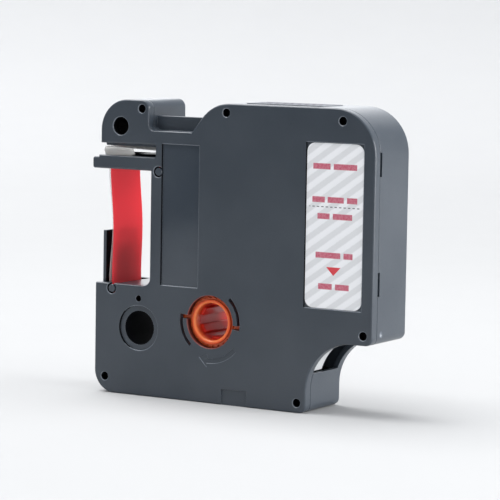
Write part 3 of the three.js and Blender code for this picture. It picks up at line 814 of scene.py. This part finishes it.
def front_label_paper():
    """The front label: plain bars in place of lettering, a dashed line and a triangle."""
    material, tree, shader, where = new_material("paper_label_front")
    x, _, z = axes(tree, where)
    tooth = noise(tree, where, 1900, detail=4, roughness=0.7)
    middle = (LABEL_BAY[0] + LABEL_BAY[1]) / 2
    thick = 1.3
    rule_low = 46.9
    reach = 6.4
    rows = (
        (56.0, ((-5.6, -1.2), (-0.4, 5.5))),
        (48.6, ((-5.7, -2.5), (-1.8, 2.3), (3.1, 5.7))),
        (44.9, ((-4.3, -1.2), (-0.4, 4.5))),
        (36.2, ((-4.6, 1.7), (2.5, 4.8))),
        (29.2, ((-3.8, -0.3), (0.5, 4.0))),
    )
    printed = 0.0
    for height, words in rows:
        low = height - thick / 2
        for x0, x1 in words:
            bar = printed_bar(tree, x, z, middle + x0, middle + x1, low, low + thick)
            printed = maths(tree, "MAXIMUM", printed, bar)
    ink = mix_colour(tree, remap(tree, tooth, 0.0, 0.18, 0.35, 0.6), PRINT_RED, PAPER)
    inked = mix_colour(tree, printed, striped_paper(tree, x, z, tooth), ink)
    marked = mix_colour(tree, triangle_print(tree, x, z, middle), inked, MARK_RED)
    rule = printed_bar(tree, x, z, middle - reach, middle + reach, rule_low, rule_low + 0.2)
    rule = times(tree, rule, dashes(tree, x, 1.13, 0.2, 0.75, 0.04))
    dashed = mix_colour(tree, rule, marked, PRINT_GREY)
    fill(tree, shader, base_color=dashed, roughness=0.38, normal=bump(tree, tooth, 0.012))
    return material


def triangle_print(tree, x, z, middle):
    """A small triangle that points down."""
    top = 33.6 * MM
    point = 31.7 * MM
    half = 1.85 * MM
    soft = 0.04 * MM
    width = remap(tree, z, 0, half, point, top)
    offset = maths(tree, "ABSOLUTE", maths(tree, "SUBTRACT", x, middle * MM))
    spare = maths(tree, "SUBTRACT", width, offset)
    upward = inside(tree, z, point, top, soft)
    return times(tree, upward, remap(tree, spare, 0, 1, -soft, soft))


def top_label_paper():
    """The strip on the top edge: dark grey, with two rows of plain darker bars."""
    material, tree, shader, where = new_material("paper_label_top")
    x, y, _ = axes(tree, where)
    tooth = noise(tree, where, 1300)
    y0 = PARTING + TOP_LABEL["from_seam"]
    soft = 0.05 * MM
    printed = 0.0
    for row in (0.22, 0.56):
        low = (y0 + TOP_LABEL["width"] * row) * MM
        high = low + TOP_LABEL["width"] * 0.2 * MM
        printed = maths(tree, "MAXIMUM", printed, inside(tree, y, low, high, soft))
    ends = inside(tree, x, (TOP_LABEL["x0"] + 2) * MM, (TOP_LABEL["x1"] - 2) * MM, soft)
    printed = times(tree, times(tree, printed, ends), dashes(tree, x, 1.9, 0.15, 0.8, 0.03))
    paper = mix_colour(tree, remap(tree, tooth, 0.5, 1), (0.4, 0.41, 0.43), (0.14, 0.15, 0.17))
    inked = mix_colour(tree, printed, paper, PRINT_GREY)
    fill(tree, shader, base_color=inked, roughness=0.75, normal=bump(tree, tooth, 0.012))
    fill(tree, shader, specular_ior_level=0.15)
    return material


# ---- Front cover ----


def pawl_slots():
    """Two curved slots leave two springy pawls at the edge of the hub hole."""
    inner = 7.25
    outer = 8.05
    gap = 0.95
    start = 173
    end = 228
    into_hole = 0.6
    tools = []
    for half in (0, 180):
        sector = ring_sector(*HUB_SPOT, inner, outer, start + half, end + half, 14)
        turn = math.radians(start + half)
        along = polar(0, 0, 1, turn)
        side = Vector((-along.y, along.x)) * gap / 2
        near = Vector(HUB_SPOT) + along * (HUB_HOLE - into_hole)
        far = Vector(HUB_SPOT) + along * outer
        for points in (sector, [near - side, far - side, far + side, near + side]):
            tools.append(prism(points, FRONT - BEYOND, INSIDE_FRONT + BEYOND))
    return tools


def wind_arrow():
    """Tools for the shallow arrow under the hub hole, which shows the way the hub turns."""
    tail = -42
    neck = -94
    tip = -108
    depth = 0.15
    rim = 0.11
    shaft = ring_sector(*HUB_SPOT, 8.45, 9.5, neck - 1, tail, 20)
    ends = ((10.4, neck), (7.5, neck), (8.7, tip))
    barb = [polar(*HUB_SPOT, radius, math.radians(angle)) for radius, angle in ends]
    return [engraving([(p.x, p.y, 0) for p in points], depth, rim) for points in (shaft, barb)]


def cutout_rib():
    """The rib that follows the finger cut-out just inside the case wall."""
    gap = 0.15
    thickness = 0.9
    reach = 8.6
    inner = CUTOUT_RADIUS + WALL + gap
    sector = ring_sector(*CUTOUT_SPOT, inner, inner + thickness, 102, 162, 20)
    return prism(sector, INSIDE_FRONT - LAP, FRONT + reach)


def on_panel(c, _normal):
    """The floor of the tall panel."""
    x0, x1, z0, z1 = PANEL
    return abs(c.y - FRONT - PANEL_SINK) < 0.01 and x0 < c.x < x1 and z0 < c.z < z1


def on_rib(c, _normal):
    """The part of the cut-out's rib that stands out of the cover."""
    x, z = CUTOUT_SPOT
    inner = CUTOUT_RADIUS + WALL
    return c.y > PARTING - 0.5 and c.x < x and c.z > z and inner < off_axis(c, (x, z)) < inner + WALL


def front_cover(slate, gloss, dark, polish_and_highlight, hub_glows, rib):
    corners = case_corners()
    shell = slab(corners, FRONT, COVER_END, FRONT_ROUND, SEAM_ROUND)
    cut(shell, prism(filleted(corners, WALL), INSIDE_FRONT, COVER_END + BEYOND), arm_bay())
    join(shell, *[rod(s, PILLAR, INSIDE_FRONT - LAP, COVER_END, SMALL_ROUND) for s in PEG_SPOTS])
    common(shell, prism(filleted(corners), FRONT - BEYOND, REAR))
    join(shell, cutout_rib())
    cut(shell, *web_passages())
    bays = [pocket(bay) for bay in (PANEL, LABEL_BAY, BOTTOM_BAY)]
    cut(shell, *bays, drill(POST_SPOT, POST_WELL, POST_SINK, ROUND))
    through = COVER_DEPTH + BEYOND
    cut(
        shell,
        *[drill(spot, PEG_HOLE, through) for spot in PEG_SPOTS],
        *[drill(spot, PIN_HOLE, through) for spot in PIN_SPOTS],
        drill(STUD_SPOT, STUD_HOLE, through, rim=0.08),
        drill(HEAD_SPOT, HEAD_HOLE, through, MID_ROUND),
        drill(HUB_SPOT, HUB_HOLE, through, ROUND),
        rod(POST_SPOT, POST_HOLE, FRONT - BEYOND, COVER_END + BEYOND),
    )
    cut(shell, *pawl_slots(), *wind_arrow())
    finish_piece(shell, "front_cover", "front_cover_shell", slate)
    paint(shell, gloss, on_panel)
    # The deep parts of the holes are painted near black as painted shade.
    paint(shell, dark, in_hole)
    paint_rims(shell, polish_and_highlight, dark)
    paint_hub_rim(shell, *hub_glows)
    # The rib is painted pale grey as a painted reflection.
    paint(shell, rib, on_rib)


# ---- Rear case ----


def notch_wall():
    """The thin wall that stands across the notch in the top edge, a little behind the cover."""
    y0 = FRONT + 3.7
    thickness = 1.5
    bottom = NOTCH_FLOOR - WALL / 2
    top = 65.4
    left = HEAD_RIGHT - WALL / 2
    low, high = (CREST - (TOP - z) / NOTCH_SLOPE + WALL / 2 for z in (bottom, top))
    corners = [(left, bottom, 0), (low, bottom, 0), (high, top, 0), (left, top, 0)]
    return slab(corners, y0, y0 + thickness, RIM, RIM)


def rear_shell():
    """Floor, outer walls and the thin wall across the notch."""
    corners = case_corners(REAR_HEAD_BOTTOM)
    shell = slab(corners, PARTING, REAR, SEAM_ROUND, REAR_ROUND)
    cut(shell, prism(filleted(corners, WALL), PARTING - BEYOND, INSIDE_REAR))
    return join(shell, notch_wall())


def case_openings():
    """The opening in the finger cut-out, the two slots for prising, and the gate's dimple."""
    sill = 8.9
    edge = 2.4
    span = 8.5
    height = 5.4
    width = 0.8
    y0 = PARTING - BEYOND
    far = FOOT_RIGHT + span
    window = block(FOOT_RIGHT - 2 * WALL, far, y0, REAR - edge, sill, LOBE_BOTTOM + 2 * LAP)
    x0 = RIGHT - width
    y1 = PARTING + width
    slots = [block(x0, RIGHT + BEYOND, y0, y1, z, z + height) for z in (54.1, 27.5)]
    return [window, *slots, gate_dimple()]


def gate_dimple():
    """A ball that leaves a shallow dimple in the right-hand wall."""
    ball = bmesh.new()
    bmesh.ops.create_uvsphere(ball, u_segments=24, v_segments=16, radius=GATE_RADIUS)
    mesh = bpy.data.meshes.new("solid")
    ball.to_mesh(mesh)
    ball.free()
    mesh.transform(Matrix.Translation(GATE))
    return add_object("solid", mesh)


def arm_ribs():
    """The upper rib, with its ramp, keeps the label tape off the arm, and the lower one carries
    the ink ribbon. The block at the tip keeps both from swinging outwards."""
    right = SLOT_END + LAP
    ramp = -30.9
    foot = ARM_TOP - 1.5
    crown = ARM_TOP + 0.5
    slope = [(-26, crown, 1), (ramp, ARM_TOP - 0.6, 0.3)]
    upper = [(ramp, foot, 0), (right, foot, 0), (right, crown, 0), *slope]
    left = RIBBON_LINE + 0.15
    top = ARM_BOTTOM + 0.75
    far = MOUTH_RIGHT + LAP
    lower = [(left, ARM_BOTTOM, 0.3), (far, ARM_BOTTOM, 0), (far, top, 0), (left, top, 0.3)]
    end = ARM_TIP + 2.1
    high = ARM_TOP - ARM_STEP
    tip = [(ARM_TIP, ARM_BOTTOM, 0.6), (end, ARM_BOTTOM, 0), (end, high, 0), (ARM_TIP, high, 0.6)]
    return [slab(corners, PARTING, INSIDE_REAR + LAP, 0.1) for corners in (upper, lower, tip)]


def exit_guide():
    """The upright at the foot of the mouth that keeps the tape beside the ribbon."""
    x = LEFT + 0.55
    thickness = 0.85
    height = 12.1
    corners = rectangle(x, x + thickness, MOUTH_BOTTOM - WALL, MOUTH_BOTTOM + height, 0.12)
    return slab(corners, PARTING, REAR, RIM, REAR_ROUND / 2)


def pegs():
    """Pillars with a thinner peg on top, which press into the cover."""
    made = []
    for spot in PEG_SPOTS:
        made.append(rod(spot, PILLAR, PARTING, INSIDE_REAR + LAP, SMALL_ROUND))
        made.append(rod(spot, PEG_RADIUS, PEG_TOP, INSIDE_REAR, SMALL_ROUND, edge=0.15))
    return made


def spindles():
    near = INSIDE_FRONT + 0.3
    far = INSIDE_REAR + LAP
    roll = TAPE_ROLL["spindle"]
    supply = SUPPLY["spindle"]
    return [
        tube(TAPE_ROLL["spot"], roll - WALL, roll, near, far),
        tube(SUPPLY["spot"], supply - 0.8, supply, near, far, SMALL_ROUND),
        rod(STUD_SPOT, STUD_HOLE - 0.1, near, far, SMALL_ROUND),
        rod(HEAD_SPOT, HEAD_TUBE, PARTING, far, MID_ROUND),
        rod(POST_SPOT, POST_TUBE, INSIDE_FRONT + SEAM, far, edge=RIM),
        *[rod(s, PIN_RADIUS + 0.5, INSIDE_REAR - 0.15, far, SMALL_ROUND) for s in PIN_SPOTS],
    ]


def in_arm_shade(c, n):
    """The inside of the arm, except the crown of its upper rib."""
    crown = c.z > ARM_TOP + 0.3 and n.z > 0.5
    low = ARM_BOTTOM + 0.1 < c.z < ARM_TOP + 0.55
    return low and ARM_TIP + 2 < c.x < SLOT_END and abs(c.y) < INSIDE_REAR + 0.05 and not crown


def on_guide(c, n):
    """The side of the exit guide that faces the tape."""
    return n.x > 0.9 and c.x < LEFT + 1.5 and c.z > MOUTH_BOTTOM


def at_gate(c, _normal):
    return (c - Vector(GATE)).length < GATE_RADIUS * 1.05


def rear_case(slate, dark, polish_and_highlight):
    inside_case = prism(filleted(case_corners(REAR_HEAD_BOTTOM)), FRONT, REAR)
    shell = rear_shell()
    cut(shell, arm_bay(), *web_passages())
    cut(shell, *case_openings())
    first, *others = pegs() + spindles()
    fitted = common(join(first, *others), inside_case)
    join(shell, *arm_ribs())
    join(shell, exit_guide())
    join(shell, fitted)
    far = REAR + BEYOND
    socket = INSIDE_REAR + SOCKET_DEPTH
    cut(
        shell,
        rod(HEAD_SPOT, HEAD_HOLE, FRONT, far, MID_ROUND),
        rod(POST_SPOT, POST_HOLE, FRONT, far),
        rod(HUB_SPOT, HUB_REAR_HOLE, INSIDE_REAR - BEYOND, far),
        *[rod(spot, PIN_SOCKET, FRONT, socket, SMALL_ROUND) for spot in PIN_SPOTS],
    )
    finish_piece(shell, "rear_case", "rear_case_shell", slate)
    # Holes, the arm's inside and the guide's tape side get near-black painted shade.
    for wanted in (in_hole, in_arm_shade, on_guide):
        paint(shell, dark, wanted)
    # The gate's dimple is painted pale as a painted highlight.
    paint(shell, polish_and_highlight, at_gate)


# ---- Pins and labels ----


def guide_pin(spot):
    """A pin that stands in its socket and ends just below the front face."""
    gap = 0.05
    y1 = INSIDE_REAR + SOCKET_DEPTH - gap
    return rod(spot, PIN_RADIUS, FRONT + gap, y1, SMALL_ROUND, edge=0.25)


def front_label():
    x0, x1, z0, z1 = LABEL_BAY
    m = LABEL_MARGIN
    back = FRONT + PANEL_SINK - LABEL_GAP
    corners = rectangle(x0 + m, x1 - m, z0 + m, z1 - m, LABEL_CORNER)
    return slab(corners, back - LABEL_THICKNESS, back, 0.04)


def top_label():
    y0 = PARTING + TOP_LABEL["from_seam"]
    corners = rectangle(TOP_LABEL["x0"], TOP_LABEL["x1"], y0, y0 + TOP_LABEL["width"], 0.8)
    z0 = TOP + LABEL_GAP
    heights = (z0, z0 + LABEL_THICKNESS)
    return loft([[(p.x, p.y, z) for p in filleted(corners)] for z in heights])


# ---- Web ----


def band(path, width):
    """A thin band that follows a path in X and Z."""
    front_side, back_side = [], []
    for i, p in enumerate(path):
        direction = (path[min(i + 1, len(path) - 1)] - path[max(i - 1, 0)]).normalized()
        normal = Vector((-direction.y, direction.x)) * WEB_THICKNESS / 2
        front_side.append(p - normal)
        back_side.append(p + normal)
    return prism(front_side + back_side[::-1], -width / 2, width / 2)


def bow(x0, x1, z0, z1, sag, steps=30):
    """A gentle bow inwards on a hanging web, between two heights."""
    points = []
    for i in range(1, steps):
        t = i / steps
        wave = math.sin(math.pi * t) ** 2
        points.append(Vector((x0 + (x1 - x0) * t + sag * wave, z0 + (z1 - z0) * t)))
    return points


def label_tape_run():
    """Through the slot over the arm, round a loose loop beyond its tip and down the mouth."""
    clear = WEB_THICKNESS / 2 + 0.05
    at_slot_end = ARM_TOP + 1.45
    lower_line = TAPE_LINE + 0.35
    exit_bend = 4.5
    loop = (-34.85, 57.1)
    loop_radius = 0.7
    path = [
        *arc(*TAPE_ROLL["spot"], TAPE_ROLL["full"] + clear, 84, 97, 8),
        Vector((SLOT_END + WALL / 2, at_slot_end)),
        *arc(*loop, loop_radius, 90, 205, 14),
        Vector((TAPE_LINE, ARM_BOTTOM)),
        *bow(TAPE_LINE, lower_line, ARM_BOTTOM, MOUTH_BOTTOM, 0.95),
        Vector((lower_line, MOUTH_BOTTOM - WALL)),
        *arc(lower_line - exit_bend, EXIT_SLIT + 0.75 * exit_bend, exit_bend, 0, -60, 12),
    ]
    return band(path, TAPE_WIDTH)


def ribbon_run():
    """From the supply over the upper pin, down the mouth and round the lower pin to the hub."""
    clear = WEB_THICKNESS / 2 + 0.04
    on_pin = PIN_RADIUS + clear
    corner = 0.45
    arm_line = UPPER_PIN[1] + on_pin
    path = [
        *arc(*SUPPLY["spot"], SUPPLY["full"] + clear, 20, 78, 16),
        *arc(*UPPER_PIN, on_pin, 72, 90, 5),
        *arc(RIBBON_LINE + corner, arm_line - corner, corner, 90, 180, 10),
        *bow(RIBBON_LINE, LOWER_PIN[0] - on_pin, ARM_BOTTOM, MOUTH_BOTTOM, 0.55),
        *arc(*LOWER_PIN, on_pin, 180, 273, 16),
        *arc(*HUB_SPOT, TAKEUP["full"] + clear, 93, 60, 10),
    ]
    return band(path, RIBBON_WIDTH)


# ---- Spools ----


def spool_core(spool, width, count, edge):
    return tube(spool["spot"], spool["bore"], spool["core"], -width / 2, width / 2, count, edge)


def wound_roll(spool, width, count=ROUND):
    """Film wound on a spool, just clear of its core."""
    start = spool["core"] + 0.02
    return tube(spool["spot"], start, spool["full"], -width / 2, width / 2, count)


def slip_film(side):
    """A thin washer beside the wound tape: in front of it for side -1 and behind it for 1."""
    near = side * (TAPE_WIDTH / 2 + 0.08)
    y0, y1 = sorted((near, near + side * FILM_THICKNESS))
    return tube(TAPE_ROLL["spot"], TAPE_ROLL["bore"] + 0.1, FILM_RADIUS, y0, y1, edge=0.03)


def ratchet_outline():
    """Saw teeth: each rises slowly and drops steeply."""
    steep_share = 0.12
    step = 2 * math.pi / HUB_TOOTH_COUNT
    points = []
    for i in range(HUB_TOOTH_COUNT):
        points.append(polar(*HUB_SPOT, HUB_TEETH, i * step))
        points.append(polar(*HUB_SPOT, HUB_ROOT, (i + steep_share) * step))
    return points


def splined_bore():
    """Bore with straight splines, which start a little way in from each end."""
    width = 2.2
    lead = 2.2
    depth = 2
    chamfer = 0.22
    front = FRONT + HUB_RECESS
    wide = HUB_BORE + chamfer
    steps = ((wide, front - BEYOND), (wide, front), (HUB_BORE, front + chamfer))
    bore = loft([ring(HUB_SPOT, radius, y) for radius, y in (*steps, (HUB_BORE, REAR + BEYOND))])
    ribs = []
    for i in range(HUB_SPLINE_COUNT):
        turn = (i + 0.5) * 2 * math.pi / HUB_SPLINE_COUNT
        along = polar(0, 0, depth, turn)
        side = polar(0, 0, width / 2, turn + math.pi / 2)
        near = polar(*HUB_SPOT, HUB_SPLINE, turn)
        points = (near - side, near - side + along, near + side + along, near + side)
        rounded = [(p.x, p.y, r) for p, r in zip(points, (0.3, 0, 0, 0.3))]
        ribs.append(slab(rounded, front + lead, REAR - lead, 0.3, 0.1))
    return cut(bore, *ribs)


def takeup_hub():
    gap = 0.1
    front = FRONT + HUB_RECESS
    teeth_front = front + 0.45
    flange_front = INSIDE_FRONT + 0.05
    flange_rear = flange_front + 0.35
    barrel_rear = INSIDE_REAR - gap
    hub = rod(HUB_SPOT, HUB_RING, front, flange_rear - 0.02, edge=0.18)
    join(
        hub,
        prism(ratchet_outline(), teeth_front, flange_front + LAP),
        rod(HUB_SPOT, TAKEUP["flange"], flange_front, flange_rear),
        rod(HUB_SPOT, TAKEUP["core"], flange_rear - LAP, barrel_rear),
        rod(HUB_SPOT, HUB_JOURNAL, barrel_rear - LAP, REAR - gap),
    )
    return cut(hub, splined_bore())


# ---- Stage, light and camera ----


def bearing(azimuth, elevation=0.0):
    """The direction out from the cassette: 0 is straight in front of the cover, 90 its right."""
    a = math.radians(azimuth)
    e = math.radians(elevation)
    return Vector((math.sin(a) * math.cos(e), -math.cos(a) * math.cos(e), math.sin(e)))


def make_camera():
    azimuth = 30.78
    elevation = 5.67
    roll = math.radians(0.96)
    distance = 581.6
    target = Vector((4.7, -6.2, 35.9))
    back = bearing(azimuth, elevation)
    right = bearing(azimuth + 90)
    up = back.cross(right)
    x = right * math.cos(roll) + up * math.sin(roll)
    y = up * math.cos(roll) - right * math.sin(roll)
    data = bpy.data.cameras.new("camera")
    data.lens = 184.25
    data.clip_start = 0.01
    data.clip_end = 20
    camera = add_object("camera", data)
    turn = Matrix((x, y, back)).transposed().to_4x4()
    camera.matrix_world = Matrix.Translation((target + back * distance) * MM) @ turn
    bpy.context.scene.camera = camera


def sweep():
    """A pale floor that curves up into a wall all round, a little darker near the cassette."""
    flat = 0.7
    curve = 1.3
    height = 2.2
    sides = 128
    steps = 32
    profile = [(0.02, 0), (flat - 0.05, 0), (flat, 0)]
    for k in range(1, steps + 1):
        t = math.pi / 2 * k / steps
        profile.append((flat + curve * math.sin(t), curve * (1 - math.cos(t))))
    profile.append((flat + curve, height))
    verts = [(p.x, p.y, z) for radius, z in profile for p in circle(0, 0, radius, sides)]
    faces = []
    for start in range(0, len(verts) - sides, sides):
        for j in range(sides):
            a = start + j
            b = start + (j + 1) % sides
            faces.append((a, a + sides, b + sides, b))
    faces.append(tuple(range(sides)))
    obj = add_mesh("sweep", verts, faces)
    obj.data.shade_smooth()
    material, tree, shader, where = new_material("matt_white")
    away = remap(tree, vector_maths(tree, "LENGTH", where), 0, 1, 0.3, 1.1, smooth=True)
    graded = mix_colour(tree, away, (0.475, 0.478, 0.482), (0.67, 0.672, 0.676))
    grain = remap(tree, noise(tree, where, 40), 0, 0.02)
    shade = mix_colour(tree, grain, graded, (0, 0, 0))
    fill(tree, shader, base_color=shade, roughness=0.55, specular_ior_level=0)
    obj.data.materials.append(material)


def area_light(name, azimuth, elevation, distance, size, power):
    """A soft rectangular light that points at the cassette."""
    data = bpy.data.lights.new(name, "AREA")
    data.shape = "RECTANGLE"
    data.size, data.size_y = size
    data.energy = power
    light = add_object(name, data)
    back = bearing(azimuth, elevation)
    light.location = back * distance + Vector((0, 0, 0.035))
    light.rotation_mode = "QUATERNION"
    light.rotation_quaternion = back.to_track_quat("Z", "Y")
    light.visible_camera = False


def reflection_card(name, azimuth, distance, width, bottom, top, strength):
    """An upright card that only mirror-like reflections see."""
    foot = bearing(azimuth) * distance
    half = bearing(azimuth + 90) * width / 2
    low = Vector((0, 0, bottom))
    high = Vector((0, 0, top))
    verts = [foot - half + low, foot + half + low, foot + half + high, foot - half + high]
    obj = add_mesh(name, verts, [(0, 1, 2, 3)])
    material, tree, *_ = new_material(name)
    glow = node(tree, "Emission", color=(0.95, 0.97, 1), strength=strength).outputs[0]
    fill(tree, tree.nodes["Material Output"], surface=glow)
    obj.data.materials.append(material)
    for kind in ("camera", "diffuse", "shadow", "transmission"):
        setattr(obj, "visible_" + kind, False)


def light_the_stage():
    sky = bpy.data.worlds.new("studio")
    bpy.context.scene.world = sky
    sky.use_nodes = True
    tree = sky.node_tree
    fill(tree, tree.nodes["Background"], color=(0.94, 0.965, 1), strength=0.92)
    area_light("right_box", 102, 7, 0.75, (0.7, 0.5), 9.5)
    area_light("top_box", 270, 70, 1.1, (0.9, 0.9), 16)
    reflection_card("camera_side", -28, 0.37, 1.4, 0.007, 0.45, 0.12)
    reflection_card("low_edge", -28, 0.36, 1.4, 0.0, 0.002, 0.12)
    reflection_card("far_side", -149, 1.1, 1.6, 0.02, 0.7, 2.2)


# ---- The whole scene ----


def build_case():
    slate = case_plastic("case_plastic")
    gloss = case_plastic("case_plastic_polished", 0.1, grain=0, waviness=0.02)
    # The rims are polished and painted pale as a painted highlight.
    polished_and_lit = case_plastic("case_plastic_rims", 0.16, grain=0, pale=0.85)
    # Next, the hub's orange light painted onto the hub hole's rim and, deeper, onto its wall.
    warm = case_plastic("case_plastic_hub_rim", 0.3, pale=0.8, edge_colour=RIM_GLOW)
    deep = case_plastic("case_plastic_hub_wall", 0.4, pale=1.3, edge_colour=WALL_GLOW)
    dark = bore_shade()
    front_cover(slate, gloss, dark, polished_and_lit, (warm, deep), painted_rib_reflection())
    rear_case(slate, dark, polished_and_lit)
    pins = case_plastic("pin_plastic", 0.2, grain=0.6)
    for spot, end in zip(PIN_SPOTS, ("upper", "lower")):
        finish_piece(guide_pin(spot), end + "_guide_pin", end + "_pin", pins)
    papers = front_label_paper(), top_label_paper()
    finish_piece(front_label(), "front_label", "front_label_sheet", papers[0])
    finish_piece(top_label(), "top_label", "top_label_strip", papers[1])


def build_tape(dark_core):
    tape = label_tape()
    run = label_tape_run()
    finish_piece(run, "label_tape_run", "label_tape_band", tape, sharp=50)
    core = spool_core(TAPE_ROLL, TAPE_WIDTH, ROUND, 0.15)
    finish_piece(core, "label_tape_core", "tape_core_ring", dark_core)
    wound = wound_film("label_tape_wound", TAPE_WHITE, (0.45, 0.45, 0.42), TAPE_ROLL, 0.3)
    roll = wound_roll(TAPE_ROLL, TAPE_WIDTH)
    finish_piece(roll, "label_tape_roll", "tape_roll_wound", wound)
    waxed = clear_film()
    for side, end in ((-1, "front"), (1, "rear")):
        film = "slip_film_" + end
        finish_piece(slip_film(side), film, film + "_disc", waxed)


def build_ribbon(dark_core):
    red = ink_film()
    finish_piece(ribbon_run(), "ribbon_run", "ink_ribbon_band", red, sharp=50)
    core = spool_core(SUPPLY, RIBBON_WIDTH, MID_ROUND, 0.12)
    finish_piece(core, "ribbon_supply_core", "supply_core_ring", dark_core)
    wound = wound_film("ink_film_wound", INK_RED, INK_SHADE, SUPPLY, 0.12)
    roll = wound_roll(SUPPLY, RIBBON_WIDTH, MID_ROUND)
    finish_piece(roll, "ribbon_supply_roll", "supply_roll_wound", wound)
    hub = takeup_hub()
    finish_piece(hub, "takeup_hub", "takeup_hub_moulding", hub_plastic())
    wound = wound_film("ink_film_wound_takeup", INK_RED, INK_SHADE, TAKEUP, 0.12)
    roll = wound_roll(TAKEUP, RIBBON_WIDTH)
    finish_piece(roll, "takeup_roll", "takeup_roll_wound", wound)


build_case()
core_finish = core_plastic()
build_tape(core_finish)
build_ribbon(core_finish)
sweep()
light_the_stage()
make_camera()
bpy.context.scene.view_settings.view_transform = "Standard"
bpy.context.scene.view_settings.exposure = 0.09
